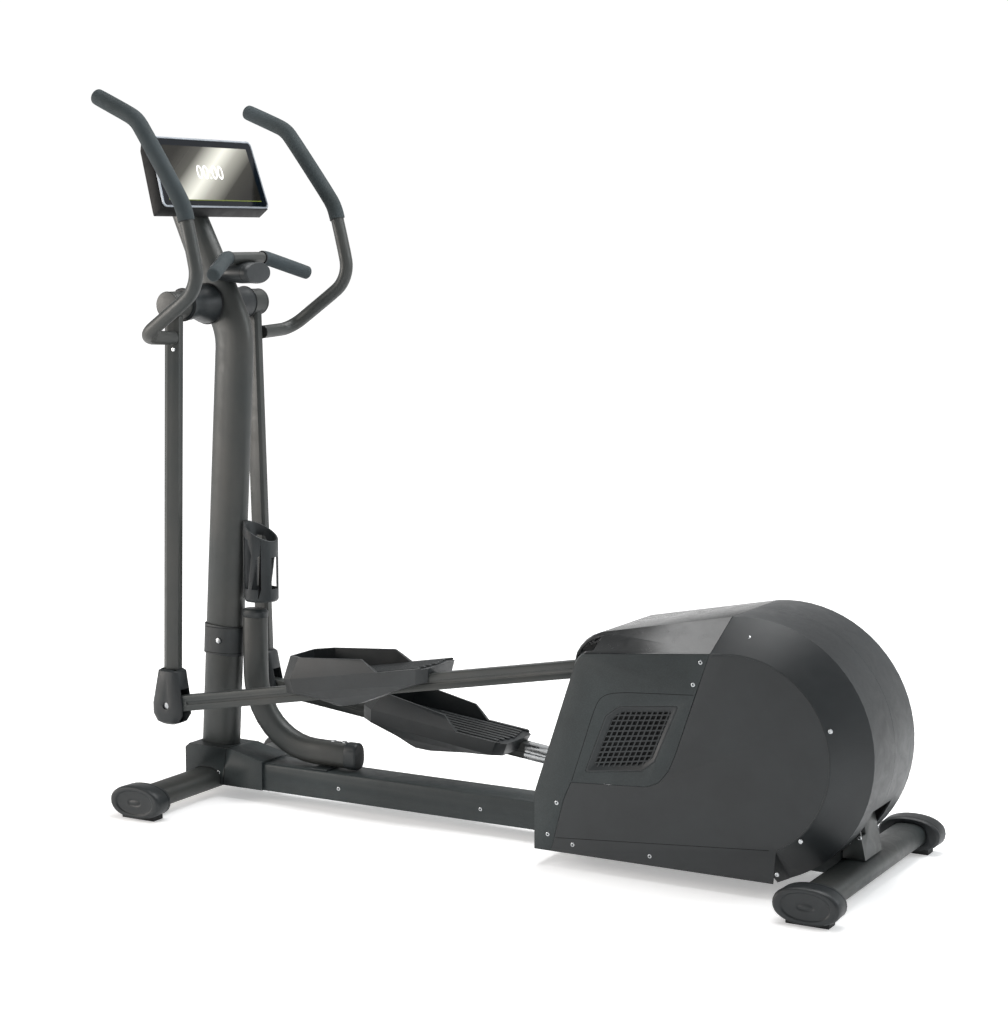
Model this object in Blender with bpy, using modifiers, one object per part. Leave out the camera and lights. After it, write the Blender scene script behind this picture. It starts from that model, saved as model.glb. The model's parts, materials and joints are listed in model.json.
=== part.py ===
"""Elliptical trainer with a rear drive, modelled as separate named pieces.

Metres, +Z up. +X points to the rear drive casing, -X to the console, and -Y is the
user's left side. The origin is on the floor, under the middle of the machine.
"""

import math

import bpy
import bmesh
from mathutils import Matrix, Vector

# ---------------------------------------------------------------- driving dimensions
FIT_GAP = 0.0003            # clearance between pieces that touch
TUBE_SIDES = 12             # flats round a bar
SEAM = 0.0008               # gap at the seam between two covers

# Linkage: a rocker on the hub, a rail from the rocker to the crank
HUB_X, HUB_Z = -0.784, 1.161
CRANK_X, CRANK_Z = 0.620, 0.277
CRANK_RADIUS = 0.205
CRANK_ANGLE = math.radians(98.5)    # direction of the left crank arm, from +X towards +Z
ROCKER_LENGTH = 0.925
RAIL_LENGTH = 1.418                 # rocker pivot to crank pin
RAIL_PLANE = 0.152                  # distance of each rail from the middle plane
RAIL_OPEN_END = 0.125               # the rail stops this far before its crank pin
RAIL_TAPER, RAIL_TIP_HEIGHT = 0.090, 0.011      # its top slopes down to a low tip, clear of the covers

# Base
FOOT_FRONT_X, FOOT_REAR_X, FOOT_Z = -0.790, 0.830, 0.041
FOOT_HALF_SPAN = 0.325
FOOT_TUBE_DEPTH, FOOT_TUBE_HEIGHT = 0.080, 0.050
CAP_DEPTH, CAP_HEIGHT, CAP_LENGTH = 0.142, 0.076, 0.052
PAD_DEPTH, PAD_WIDTH = 0.090, 0.034
BEAM_FRONT_X, BEAM_REAR_X = -0.845, 0.800
BEAM_LOW, BEAM_TOP, BEAM_WIDTH = 0.027, 0.093, 0.090
COVER_WALL, COVER_REAR_X, COVER_TOP = 0.006, -0.630, 0.120

# Mast and brace
MAST_DEPTH, MAST_WIDTH = 0.097, 0.054
MAST_FOOT_X = -0.784
MAST_BEND_X, MAST_BEND_Z, MAST_BEND_RADIUS = -0.725, 1.095, 0.160
MAST_TOP_X, MAST_TOP_Z = -0.864, 1.395
MAST_TAPER_Z, MAST_TOP_DEPTH = 1.200, 0.078  # where its neck starts to narrow, and how deep it ends
BRACE_DEPTH, BRACE_WIDTH = 0.060, 0.042
BRACE_X, BRACE_TOP_Z, BRACE_LOW_Z, BRACE_END_X = -0.679, 0.430, 0.1265, -0.423
BRACE_CAP_LENGTH = 0.032
BRACE_BEND_RADIUS = 0.170
BAND_LOW_Z, BAND_TOP_Z, BAND_WALL = 0.335, 0.405, 0.004
CAGE_RADIUS, CAGE_WALL, CAGE_LOW_Z, CAGE_TOP_Z = 0.040, 0.004, 0.470, 0.655
CAGE_CUP = 0.030                     # height of the closed cup at its base

# Hub, levers and moving bars
SHAFT_RADIUS, SHAFT_FIT = 0.010, 0.0003
HUB_RADIUS, HUB_INNER_Y, HUB_OUTER_Y = 0.0315, 0.1225, 0.178
HOUSING_OUTER_Y = 0.1205
LEVER_DEPTH, LEVER_WIDTH = 0.040, 0.028
BAR_RADIUS, GRIP_RADIUS = 0.0165, 0.0195
GRIP_SEAM = 0.193                   # height of the moving grips' lower ends above the hub
BOOT_HALF_WIDTH = 0.029
LEVER_END = 0.047                   # the lever tube's end above the rail pivot
PIN_RADIUS = 0.008

# Rails and pedals
RAIL_HEIGHT, RAIL_WIDTH, RAIL_EYE_RADIUS = 0.036, 0.028, 0.020
GROOVE_HEIGHT, GROOVE_DEPTH = 0.007, 0.003
PEDAL_FRONT, PEDAL_REAR = 0.338, 0.724      # distances along the rail from its pivot
PEDAL_PLANE, PEDAL_WIDTH = 0.1175, 0.155
PEDAL_FLOOR, PEDAL_KEEL = 0.034, -0.038
TOE_WALL_TOP, SIDE_WALL_TOP = 0.087, 0.066  # the walls' height above the rail, falling from the toe
WALL_TOP_END, WALL_FOOT_END = 0.565, 0.600  # where the side walls' sloped ends start and stop

# Static handlebar and console
STEM_REAR_X, STEM_Z, STEM_WIDTH, STEM_HEIGHT = -0.656, 1.233, 0.102, 0.050
CROSS_X, CROSS_Z, CROSS_RADIUS, CROSS_GRIP_RADIUS = -0.692, 1.267, 0.0140, 0.0168
CROSS_BEND_Y, GRIP_END_X, GRIP_END_Y, GRIP_END_Z = 0.076, -0.646, 0.190, 1.2290
CONSOLE_X, CONSOLE_Z, CONSOLE_TILT = -0.789, 1.4615, math.radians(16.3)
CONSOLE_LOW_WIDTH, CONSOLE_TOP_WIDTH, CONSOLE_HEIGHT = 0.408, 0.384, 0.166
BEZEL_DEPTH, HOUSING_BACK, HOUSING_DROP, HOUSING_STEP = 0.006, 0.036, 0.012, 0.026
MOUNT_HALF_WIDTH, MOUNT_REACH = 0.036, 0.078

# Drive casing
DRUM_X, DRUM_Z, DRUM_RADIUS, PANEL_RADIUS = 0.620, 0.284, 0.272, 0.207
CROWN_Y, SIDE_Y = 0.120, 0.190
CASING_LOW, SIDE_LOW = 0.024, 0.034
CASING_WALL = 0.003
SLOT_INNER_Y, SLOT_OUTER_Y = 0.130, 0.179
SLOT_LOW, SLOT_REAR_X = 0.092, 0.300
GRILLE_DEPTH, GRILLE_PLATE = 0.008, 0.003
BEAM_CLEARANCE = 0.003

# Drive
PLATE_Y, PLATE_THICKNESS = 0.038, 0.005
AXLE_RADIUS, BEARING_RADIUS = 0.010, 0.021
ARM_INNER_Y, ARM_OUTER_Y = 0.104, 0.117
PIN_END_Y = 0.1335
PULLEY_RADIUS, PULLEY_WIDTH, SMALL_PULLEY_RADIUS = 0.140, 0.016, 0.022
PULLEY_Y, BELT_THICKNESS = -0.018, 0.003
FLYWHEEL_X, FLYWHEEL_Z, FLYWHEEL_RADIUS, FLYWHEEL_WIDTH = 0.365, 0.250, 0.115, 0.026
FLYWHEEL_Y = 0.012
STUD_RADIUS, STUD_OVERHANG = 0.006, 0.006

# Rear bracket
BRACKET_FRONT_X, BRACKET_REAR_X, BRACKET_HALF_WIDTH = 0.800, 0.852, 0.050
BRACKET_TOP = 0.165

# Colours (linear RGB)
STEEL_PAINT = (0.072, 0.078, 0.078)
DARK_PLASTIC = (0.040, 0.047, 0.049)
SHROUD = (0.030, 0.036, 0.038)
BLACK = (0.006, 0.007, 0.007)
FOAM = (0.045, 0.053, 0.053)
BRIGHT_STEEL = (0.55, 0.56, 0.57)

SIDES = (("left", -1), ("right", 1))


# ---------------------------------------------------------------- scene and helpers
def clear_scene():
    for obj in list(bpy.data.objects):
        bpy.data.objects.remove(obj, do_unlink=True)


def new_collection(name, hidden):
    collection = bpy.data.collections.new(name)
    bpy.context.scene.collection.children.link(collection)
    collection.hide_render = hidden
    return collection


clear_scene()
PARTS = new_collection("elliptical_trainer", False)
CUTTERS = new_collection("cutters", True)


def material(name, colour, roughness, metallic=0.0):
    """A Principled material, made once for each name."""
    found = bpy.data.materials.get(name)
    if found:
        return found
    made = bpy.data.materials.new(name)
    made.use_nodes = True
    shader = made.node_tree.nodes["Principled BSDF"]
    shader.inputs["Base Color"].default_value = (*colour, 1.0)
    shader.inputs["Roughness"].default_value = roughness
    shader.inputs["Metallic"].default_value = metallic
    return made


def painted_steel():
    return material("painted_steel", STEEL_PAINT, 0.45, 0.4)


def dark_plastic():
    return material("dark_plastic", DARK_PLASTIC, 0.55)


def shroud_plastic():
    return material("shroud_plastic", SHROUD, 0.5)


def gloss_black():
    return material("gloss_black", BLACK, 0.12)


def foam_rubber():
    return material("foam_rubber", FOAM, 0.8)


def bright_steel():
    return material("bright_steel", BRIGHT_STEEL, 0.25, 1.0)


def place(obj, surface, parent=None, sharp=35.0):
    """Puts a finished piece in the object's collection."""
    PARTS.objects.link(obj)
    obj.data.materials.clear()
    obj.data.materials.append(surface)
    if obj.type == "MESH":
        obj.data.shade_smooth()
        obj.data.set_sharp_from_angle(angle=math.radians(sharp))
    if parent:
        obj.parent = parent
    return obj


def pivot(name, location, angle_y=0.0, parent=None):
    """An empty on a joint's axis, turned about Y."""
    empty = bpy.data.objects.new(name, None)
    PARTS.objects.link(empty)
    empty.location = location
    empty.rotation_euler = (0.0, angle_y, 0.0)
    empty.parent = parent
    return empty


def as_cutter(obj, parent=None):
    CUTTERS.objects.link(obj)
    obj.hide_render = True
    obj.display_type = "WIRE"
    if parent:
        obj.parent = parent
    return obj


def boolean(obj, other, operation="DIFFERENCE"):
    step = obj.modifiers.new(operation.lower(), "BOOLEAN")
    step.operation = operation
    step.solver = "EXACT"
    step.object = other
    return obj


def bevel(obj, width, segments=2, angle=40.0):
    step = obj.modifiers.new("bevel", "BEVEL")
    step.width = width
    step.segments = segments
    step.limit_method = "ANGLE"
    step.angle_limit = math.radians(angle)
    return obj


def mesh_object(name, bm):
    bmesh.ops.recalc_face_normals(bm, faces=bm.faces)
    mesh = bpy.data.meshes.new(name)
    bm.to_mesh(mesh)
    bm.free()
    return bpy.data.objects.new(name, mesh)


def box(name, low, high):
    """A box between two corners, its scale in the mesh."""
    low, high = Vector(low), Vector(high)
    bm = bmesh.new()
    bmesh.ops.create_cube(bm, size=1.0)
    bmesh.ops.scale(bm, vec=high - low, verts=bm.verts)
    bmesh.ops.translate(bm, vec=(low + high) / 2, verts=bm.verts)
    return mesh_object(name, bm)


def cross_cylinder(name, radius, low_y, high_y, x=0.0, z=0.0, sides=32):
    """A cylinder along Y."""
    bm = bmesh.new()
    bmesh.ops.create_cone(bm, cap_ends=True, segments=sides, radius1=radius, radius2=radius,
                          depth=high_y - low_y)
    bmesh.ops.rotate(bm, cent=(0, 0, 0), matrix=Matrix.Rotation(math.pi / 2, 3, "X"), verts=bm.verts)
    bmesh.ops.translate(bm, vec=(x, (low_y + high_y) / 2, z), verts=bm.verts)
    return mesh_object(name, bm)


def to_mesh(curve_object, name):
    """The evaluated curve as a closed mesh object; the curve is removed."""
    bpy.context.view_layer.update()
    graph = bpy.context.evaluated_depsgraph_get()
    mesh = bpy.data.meshes.new_from_object(curve_object.evaluated_get(graph))
    bm = bmesh.new()
    bm.from_mesh(mesh)
    bmesh.ops.remove_doubles(bm, verts=bm.verts, dist=0.00001)
    bmesh.ops.transform(bm, matrix=curve_object.matrix_world, verts=bm.verts)
    bpy.data.meshes.remove(mesh)
    bpy.data.objects.remove(curve_object, do_unlink=True)
    return mesh_object(name, bm)


def slab(name, outline, low_y, high_y):
    """A flat (x, z) outline with thickness from low_y to high_y."""
    data = bpy.data.curves.new(name + "_outline", "CURVE")
    data.dimensions = "2D"
    data.fill_mode = "BOTH"
    data.extrude = (high_y - low_y) / 2
    spline = data.splines.new("POLY")
    spline.points.add(len(outline) - 1)
    for point, (x, z) in zip(spline.points, outline):
        point.co = (x, z, 0.0, 1.0)
    spline.use_cyclic_u = True
    flat = bpy.data.objects.new(name + "_outline", data)
    CUTTERS.objects.link(flat)
    flat.rotation_euler = (math.pi / 2, 0.0, 0.0)
    flat.location = (0.0, (low_y + high_y) / 2, 0.0)
    return to_mesh(flat, name)


def rounded_path(corners, radii, step=math.radians(12)):
    """The corners as a path whose inner corners are rounded with arcs."""
    corners = [Vector(corner) for corner in corners]
    path = [corners[0]]
    for before, corner, after, radius in zip(corners, corners[1:], corners[2:], radii):
        back = (before - corner).normalized()
        ahead = (after - corner).normalized()
        turn = math.pi - back.angle(ahead)
        reach = radius * math.tan(turn / 2)
        centre = corner + (back + ahead).normalized() * (radius / math.cos(turn / 2))
        start = corner + back * reach - centre
        axis = start.cross(corner + ahead * reach - centre).normalized()
        count = max(2, math.ceil(turn / step))
        for i in range(count + 1):
            path.append(centre + Matrix.Rotation(turn * i / count, 3, axis) @ start)
    path.append(corners[-1])
    return path


def tube(name, path, radius, roundness=TUBE_SIDES // 2 - 2):
    """A round bar along a path, as a closed mesh."""
    data = bpy.data.curves.new(name + "_path", "CURVE")
    data.dimensions = "3D"
    data.bevel_depth = radius
    data.bevel_resolution = roundness
    data.use_fill_caps = True
    spline = data.splines.new("POLY")
    spline.points.add(len(path) - 1)
    for point, place_ in zip(spline.points, path):
        point.co = (*place_, 1.0)
    line = bpy.data.objects.new(name + "_path", data)
    CUTTERS.objects.link(line)
    return to_mesh(line, name)


def bore_radius(bar_radius, sides=TUBE_SIDES):
    """The radius of a flat-sided bore that clears a flat-sided bar at any turn."""
    return (bar_radius + FIT_GAP) / math.cos(math.pi / sides)


def trimmed(path, start, end):
    """The path with these lengths taken off its first and last stretch."""
    path = [point.copy() for point in path]
    path[0] += (path[1] - path[0]).normalized() * start
    path[-1] += (path[-2] - path[-1]).normalized() * end
    return path


def loft(name, rings):
    """A closed skin through rings that have the same number of points."""
    bm = bmesh.new()
    rows = [[bm.verts.new(point) for point in ring] for ring in rings]
    count = len(rows[0])
    for lower, upper in zip(rows, rows[1:]):
        for i in range(count):
            j = (i + 1) % count
            bm.faces.new((lower[i], lower[j], upper[j], upper[i]))
    bm.faces.new(rows[0])
    bm.faces.new(reversed(rows[-1]))
    bmesh.ops.triangulate(bm, faces=bm.faces)
    return mesh_object(name, bm)


def oval(depth, width, points=24, power=2.6):
    """A rounded oval outline as (u, v) pairs."""
    outline = []
    for i in range(points):
        angle = 2 * math.pi * i / points
        c, s = math.cos(angle), math.sin(angle)
        outline.append((math.copysign(abs(c) ** (2 / power), c) * depth / 2,
                        math.copysign(abs(s) ** (2 / power), s) * width / 2))
    return outline


def oval_sweep(name, path, depth, width, points=24, power=2.6):
    """An oval tube along a path in the XZ plane; its width runs along Y."""
    rings = []
    for i, place_ in enumerate(path):
        ahead = (path[min(i + 1, len(path) - 1)] - path[max(i - 1, 0)]).normalized()
        across = Vector((ahead.z, 0.0, -ahead.x))
        rings.append([place_ + across * u + Vector((0.0, v, 0.0))
                      for u, v in oval(depth, width, points, power)])
    return loft(name, rings)


def along_y(side, low, high):
    """A span from the middle plane outwards, on one side of it."""
    return (low, high) if side > 0 else (-high, -low)


# ---------------------------------------------------------------- base
def stabiliser(name, x):
    half = FOOT_HALF_SPAN - CAP_LENGTH + 0.020
    path = [(x, -half, FOOT_Z), (x, half, FOOT_Z)]
    rings = [[Vector((px + u, py, pz + v)) for u, v in oval(FOOT_TUBE_DEPTH, FOOT_TUBE_HEIGHT)]
             for px, py, pz in path]
    return place(loft(name, rings), painted_steel())


def stabiliser_cutter(name, x, half_length, gap):
    rings = [[Vector((x + u, y, FOOT_Z + v))
              for u, v in oval(FOOT_TUBE_DEPTH + 2 * gap, FOOT_TUBE_HEIGHT + 2 * gap)]
             for y in (-half_length, half_length)]
    return as_cutter(loft(name, rings))


def foot_cap(name, x, side):
    """A moulded cap over the tube's end: an oval body with a ring on its face and a pad below."""
    outer = FOOT_HALF_SPAN
    steps = ((0.90, -CAP_LENGTH), (0.98, -CAP_LENGTH + 0.006), (1.0, -0.012), (0.97, -0.004), (0.90, 0.0),
             (0.74, 0.0), (0.69, -0.003), (0.30, -0.002))
    rings = [[Vector((x + u * scale, side * (outer + y), FOOT_Z + v * scale))
              for u, v in oval(CAP_DEPTH, CAP_HEIGHT, 32, 2.2)] for scale, y in steps]
    cap = loft(name, rings)
    pad_y = along_y(side, outer - CAP_LENGTH + 0.004, outer - CAP_LENGTH + 0.004 + PAD_WIDTH)
    pad = as_cutter(box(name + "_pad", (x - PAD_DEPTH / 2, pad_y[0], 0.0),
                        (x + PAD_DEPTH / 2, pad_y[1], FOOT_Z / 2)))
    socket = stabiliser_cutter(name + "_socket", x, FOOT_HALF_SPAN - CAP_LENGTH + 0.020 + FIT_GAP, FIT_GAP)
    boolean(cap, pad, "UNION")
    boolean(cap, socket)
    return place(cap, dark_plastic())


def mast_x(z):
    """The X of the mast's centre line below its bend."""
    slope = (MAST_BEND_X - MAST_FOOT_X) / (MAST_BEND_Z - BEAM_TOP)
    return MAST_FOOT_X + slope * (z - BEAM_TOP)


def mast_path(start_z):
    foot = (mast_x(start_z), 0.0, start_z)
    bend = (MAST_BEND_X, 0.0, MAST_BEND_Z)
    return rounded_path([foot, bend, (MAST_TOP_X, 0.0, MAST_TOP_Z)], [MAST_BEND_RADIUS], math.radians(6))


def mast_sweep(name, start_z, gap=0.0):
    """The mast's oval along its path, its depth narrowed towards the top of the neck."""
    body = oval_sweep(name, mast_path(start_z), MAST_DEPTH + 2 * gap, MAST_WIDTH + 2 * gap)
    lean = (MAST_TOP_X - MAST_BEND_X) / (MAST_TOP_Z - MAST_BEND_Z)
    for vertex in body.data.vertices:
        share = max(0.0, (vertex.co.z - MAST_TAPER_Z) / (MAST_TOP_Z - MAST_TAPER_Z))
        middle = MAST_TOP_X + lean * (vertex.co.z - MAST_TOP_Z)
        vertex.co.x = middle + (vertex.co.x - middle) * (1 - share * (1 - MAST_TOP_DEPTH / MAST_DEPTH)) if share \
            else vertex.co.x
    return body


def mast_cutter(name, gap):
    return as_cutter(mast_sweep(name, BEAM_TOP - 0.02, gap))


def base_beam():
    beam = bevel(box("base_beam", (BEAM_FRONT_X, -BEAM_WIDTH / 2, BEAM_LOW),
                     (BEAM_REAR_X, BEAM_WIDTH / 2, BEAM_TOP)), 0.006)
    boolean(beam, stabiliser_cutter("beam_front_notch", FOOT_FRONT_X, BEAM_WIDTH, FIT_GAP))
    boolean(beam, stabiliser_cutter("beam_rear_notch", FOOT_REAR_X, BEAM_WIDTH, FIT_GAP))
    return place(beam, painted_steel())


def beam_cover():
    """The cover over the mast's foot: a hump on the beam's front end with skirts down its sides."""
    half = BEAM_WIDTH / 2 + COVER_WALL
    front = BEAM_FRONT_X - COVER_WALL
    outline = [(front, BEAM_LOW + 0.002), (front, COVER_TOP - 0.010), (front + 0.012, COVER_TOP),
               (-0.712, COVER_TOP - 0.002), (COVER_REAR_X, BEAM_TOP + 0.005),
               (COVER_REAR_X, BEAM_LOW + 0.002)]
    cover = slab("beam_cover", outline, -half, half)
    inner = BEAM_WIDTH / 2 + FIT_GAP
    beam = as_cutter(box("beam_cover_hollow", (BEAM_FRONT_X - FIT_GAP, -inner, -0.1),
                         (0.0, inner, BEAM_TOP + FIT_GAP)))
    boolean(cover, beam)
    boolean(cover, stabiliser_cutter("beam_cover_notch", FOOT_FRONT_X, 0.1, 0.0015))
    boolean(cover, mast_cutter("beam_cover_mast_hole", 0.0008))
    return place(cover, dark_plastic())


def mast():
    body = mast_sweep("mast", BEAM_TOP - 0.01)
    floor = box("mast_foot_cut", (MAST_FOOT_X - 0.1, -0.1, 0.0),
                (MAST_FOOT_X + 0.1, 0.1, BEAM_TOP + FIT_GAP))
    boolean(body, as_cutter(floor))
    shaft = cross_cylinder("mast_shaft_hole", SHAFT_RADIUS + FIT_GAP, -0.1, 0.1, HUB_X, HUB_Z)
    boolean(body, as_cutter(shaft))
    boolean(body, console_cutter("mast_console_cut"))
    return place(body, painted_steel())


def brace_path(start, end):
    corners = [(BRACE_X, 0.0, BRACE_TOP_Z), (BRACE_X, 0.0, BRACE_LOW_Z), (BRACE_END_X, 0.0, BRACE_LOW_Z)]
    return trimmed(rounded_path(corners, [BRACE_BEND_RADIUS], math.radians(9)), start, end)


def brace():
    tube_ = oval_sweep("brace_tube", brace_path(0.0, 0.0), BRACE_DEPTH, BRACE_WIDTH)
    place(tube_, painted_steel())
    top = [[Vector((BRACE_X + u * scale, v * scale, BRACE_TOP_Z + FIT_GAP + rise))
            for u, v in oval(BRACE_DEPTH, BRACE_WIDTH)]
           for scale, rise in ((1.03, 0.0), (1.06, 0.012), (0.9, 0.019))]
    place(loft("brace_top_cap", top), dark_plastic())
    end = [[Vector((BRACE_END_X + FIT_GAP + run, v * scale, BRACE_LOW_Z + u * scale))
            for u, v in oval(BRACE_DEPTH, BRACE_WIDTH)]
           for scale, run in ((1.03, 0.0), (1.06, 0.004), (1.06, BRACE_CAP_LENGTH - 0.004),
                              (0.94, BRACE_CAP_LENGTH))]
    place(loft("brace_end_cap", end), dark_plastic())


def brace_bracket():
    """A steel strap under the brace's end, bolted to the beam."""
    low = BEAM_TOP + FIT_GAP
    top = BRACE_LOW_Z - BRACE_DEPTH / 2 - FIT_GAP
    strap = box("brace_bracket", (-0.500, -0.040, low), (-0.455, 0.040, top))
    return place(strap, dark_plastic())


def mast_band():
    """The clamp band round the mast."""
    path = [Vector((mast_x(z), 0.0, z)) for z in (BAND_LOW_Z, BAND_TOP_Z)]
    band = oval_sweep("mast_band", path, MAST_DEPTH + 2 * BAND_WALL, MAST_WIDTH + 2 * BAND_WALL)
    boolean(band, mast_cutter("mast_band_hole", FIT_GAP))
    return place(band, dark_plastic())


def bottle_cage():
    """A cup with a slanted rim and side windows, on a spine against the mast."""
    spine_x = mast_x((CAGE_LOW_Z + CAGE_TOP_Z) / 2) + MAST_DEPTH / 2 + 0.008
    centre_x = spine_x + CAGE_RADIUS

    def ring(radius, z, tilt):
        return [Vector((centre_x + radius * math.cos(2 * math.pi * i / 32),
                        radius * math.sin(2 * math.pi * i / 32),
                        z - tilt * math.cos(2 * math.pi * i / 32))) for i in range(32)]

    cage = loft("bottle_cage", [ring(CAGE_RADIUS - 0.003, CAGE_LOW_Z, 0.0),
                                ring(CAGE_RADIUS, CAGE_LOW_Z + 0.005, 0.0),
                                ring(CAGE_RADIUS, CAGE_TOP_Z - 0.022, 0.022)])
    inner = CAGE_RADIUS - CAGE_WALL
    hollow = as_cutter(loft("cage_hollow", [ring(inner, CAGE_LOW_Z + CAGE_WALL, 0.0),
                                            ring(inner, CAGE_TOP_Z + 0.05, 0.0)]))
    boolean(cage, hollow)
    # Each side has two openings with an arm between them that leans back towards the rim.
    low, top = CAGE_LOW_Z + CAGE_CUP, CAGE_TOP_Z - 0.034
    openings = (((-0.029, low), (-0.029, top), (-0.012, top - 0.004), (0.000, top - 0.040), (-0.012, low)),
                ((0.000, low), (0.013, top - 0.046), (0.022, top - 0.038), (0.022, low)))
    for side_name, side in SIDES:
        for i, corners in enumerate(openings):
            outline = [(centre_x + x, z) for x, z in corners]
            near, far = sorted((side * 0.012, side * (CAGE_RADIUS + 0.02)))
            boolean(cage, as_cutter(slab("cage_opening_%s_%d" % (side_name, i), outline, near, far)))
    rear = box("cage_opening_rear", (centre_x, -0.012, low), (centre_x + 0.06, 0.012, top - 0.046))
    boolean(cage, as_cutter(rear))
    spine = box("cage_spine", (spine_x - 0.0045, -0.011, CAGE_LOW_Z + 0.004),
                (spine_x + 0.004, 0.011, CAGE_TOP_Z))
    boolean(cage, as_cutter(spine), "UNION")
    boolean(cage, mast_cutter("cage_mast_relief", FIT_GAP))
    return place(cage, dark_plastic())


# ---------------------------------------------------------------- hub and levers
def pivot_shaft():
    half = HUB_OUTER_Y - 0.008
    return place(cross_cylinder("pivot_shaft", SHAFT_RADIUS, -half, half, HUB_X, HUB_Z), bright_steel())


def pivot_housing(side_name, side):
    """The waisted cover between the mast and a lever's hub, bored for the shaft."""
    inner = MAST_WIDTH / 2 + 0.0006
    span = HOUSING_OUTER_Y - inner
    waist = ((0.047, 0.0), (0.046, 0.10), (0.038, 0.35), (0.033, 0.55), (0.036, 0.80), (0.037, 1.0))
    rings = [[Vector((HUB_X + radius * math.cos(a), side * (inner + span * share), HUB_Z + radius * math.sin(a)))
              for a in (2 * math.pi * i / 32 for i in range(32))] for radius, share in waist]
    body = loft("pivot_housing_" + side_name, rings)
    bore = cross_cylinder("housing_bore_" + side_name, SHAFT_RADIUS + FIT_GAP, -0.2, 0.2, HUB_X, HUB_Z)
    boolean(body, as_cutter(bore))
    return place(body, dark_plastic())


def rail_front_pivot(pin):
    """Where a rocker and a rail meet, for a crank pin at (x, z)."""
    hub = Vector((HUB_X, HUB_Z))
    span = pin - hub
    distance = span.length
    along = (ROCKER_LENGTH ** 2 - RAIL_LENGTH ** 2 + distance ** 2) / (2 * distance)
    aside = math.sqrt(ROCKER_LENGTH ** 2 - along ** 2)
    unit = span / distance
    return hub + unit * along + Vector((unit.y, -unit.x)) * aside


def crank_pin(side):
    angle = CRANK_ANGLE + (0.0 if side < 0 else math.pi)
    return Vector((CRANK_X + CRANK_RADIUS * math.cos(angle), CRANK_Z + CRANK_RADIUS * math.sin(angle)))


def lever_hub(side_name, side, parent):
    """The lever's bearing barrel, closed at its outer end."""
    rings = [[Vector((radius * math.cos(a), side * y, radius * math.sin(a)))
              for a in (2 * math.pi * i / 40 for i in range(40))]
             for radius, y in ((HUB_RADIUS - 0.001, HUB_INNER_Y), (HUB_RADIUS, HUB_INNER_Y + 0.001),
                               (HUB_RADIUS, HUB_OUTER_Y - 0.0015), (HUB_RADIUS - 0.0015, HUB_OUTER_Y))]
    body = loft("lever_hub_" + side_name, rings)
    low, high = along_y(side, 0.1, HUB_OUTER_Y - 0.0076)
    bore = cross_cylinder("hub_bore_" + side_name, SHAFT_RADIUS + SHAFT_FIT, low, high)
    boolean(body, as_cutter(bore, parent))
    return place(body, painted_steel(), parent)


def lever_tube(side_name, side, parent):
    """The lever: a flat-sided extrusion with a ridge down its outer face."""
    half_x, half_y, ridge = LEVER_DEPTH / 2, LEVER_WIDTH / 2, 0.004
    section = [(-half_x, -half_y + 0.006), (-half_x + 0.006, -half_y), (half_x - 0.006, -half_y),
               (half_x, -half_y + 0.006), (half_x, half_y - 0.006), (half_x - 0.010, half_y - 0.001),
               (-half_x + 0.014, half_y + ridge - 0.001), (-half_x + 0.006, half_y - 0.001),
               (-half_x, half_y - 0.006)]
    top, low = -0.0200, LEVER_END - ROCKER_LENGTH
    rings = [[Vector((x, side * (RAIL_PLANE + y), z)) for x, y in section] for z in (low, top)]
    lever = loft("lever_tube_" + side_name, rings)
    hub = cross_cylinder("lever_hub_seat_" + side_name, HUB_RADIUS + FIT_GAP, -0.3, 0.3)
    boolean(lever, as_cutter(hub, parent))
    return place(lever, painted_steel(), parent, sharp=20)


def handle_paths(side):
    """The moving bar's path from the lever to the tip, about the hub: (lower bar, grip)."""
    corners = [(0.012, RAIL_PLANE + LEVER_WIDTH / 2 + 0.0035, -0.073), (0.016, 0.286, -0.068), (0.184, 0.300, 0.049),
               (0.142, 0.305, 0.226), (0.012, 0.301, 0.411), (-0.106, 0.300, 0.462)]
    corners = [Vector((x, side * y, z)) for x, y, z in corners]
    return rounded_path(corners, [0.045, 0.075, 0.110, 0.080])


def split_path(path, height):
    """The path in two, cut where it climbs past a height."""
    for i in range(len(path) - 1, 0, -1):
        if path[i - 1].z <= height < path[i].z:
            share = (height - path[i - 1].z) / (path[i].z - path[i - 1].z)
            cut = path[i - 1].lerp(path[i], share)
            return path[:i] + [cut], [cut] + path[i:]
    return path, path[-2:]


def handlebar(side_name, side, parent):
    path = handle_paths(side)
    lower, upper = split_path(path, GRIP_SEAM)
    bar = tube("handlebar_" + side_name, trimmed(path, 0.0, 0.010), BAR_RADIUS)
    place(bar, painted_steel(), parent, sharp=50)
    grip = tube("grip_" + side_name, upper, GRIP_RADIUS)
    bore_path = [lower[-2].lerp(lower[-1], 0.5)] + trimmed(upper, 0.0, 0.0085)
    bore = tube("grip_bore_" + side_name, bore_path, bore_radius(BAR_RADIUS))
    boolean(grip, as_cutter(bore, parent))
    place(grip, foam_rubber(), parent, sharp=50)


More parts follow.
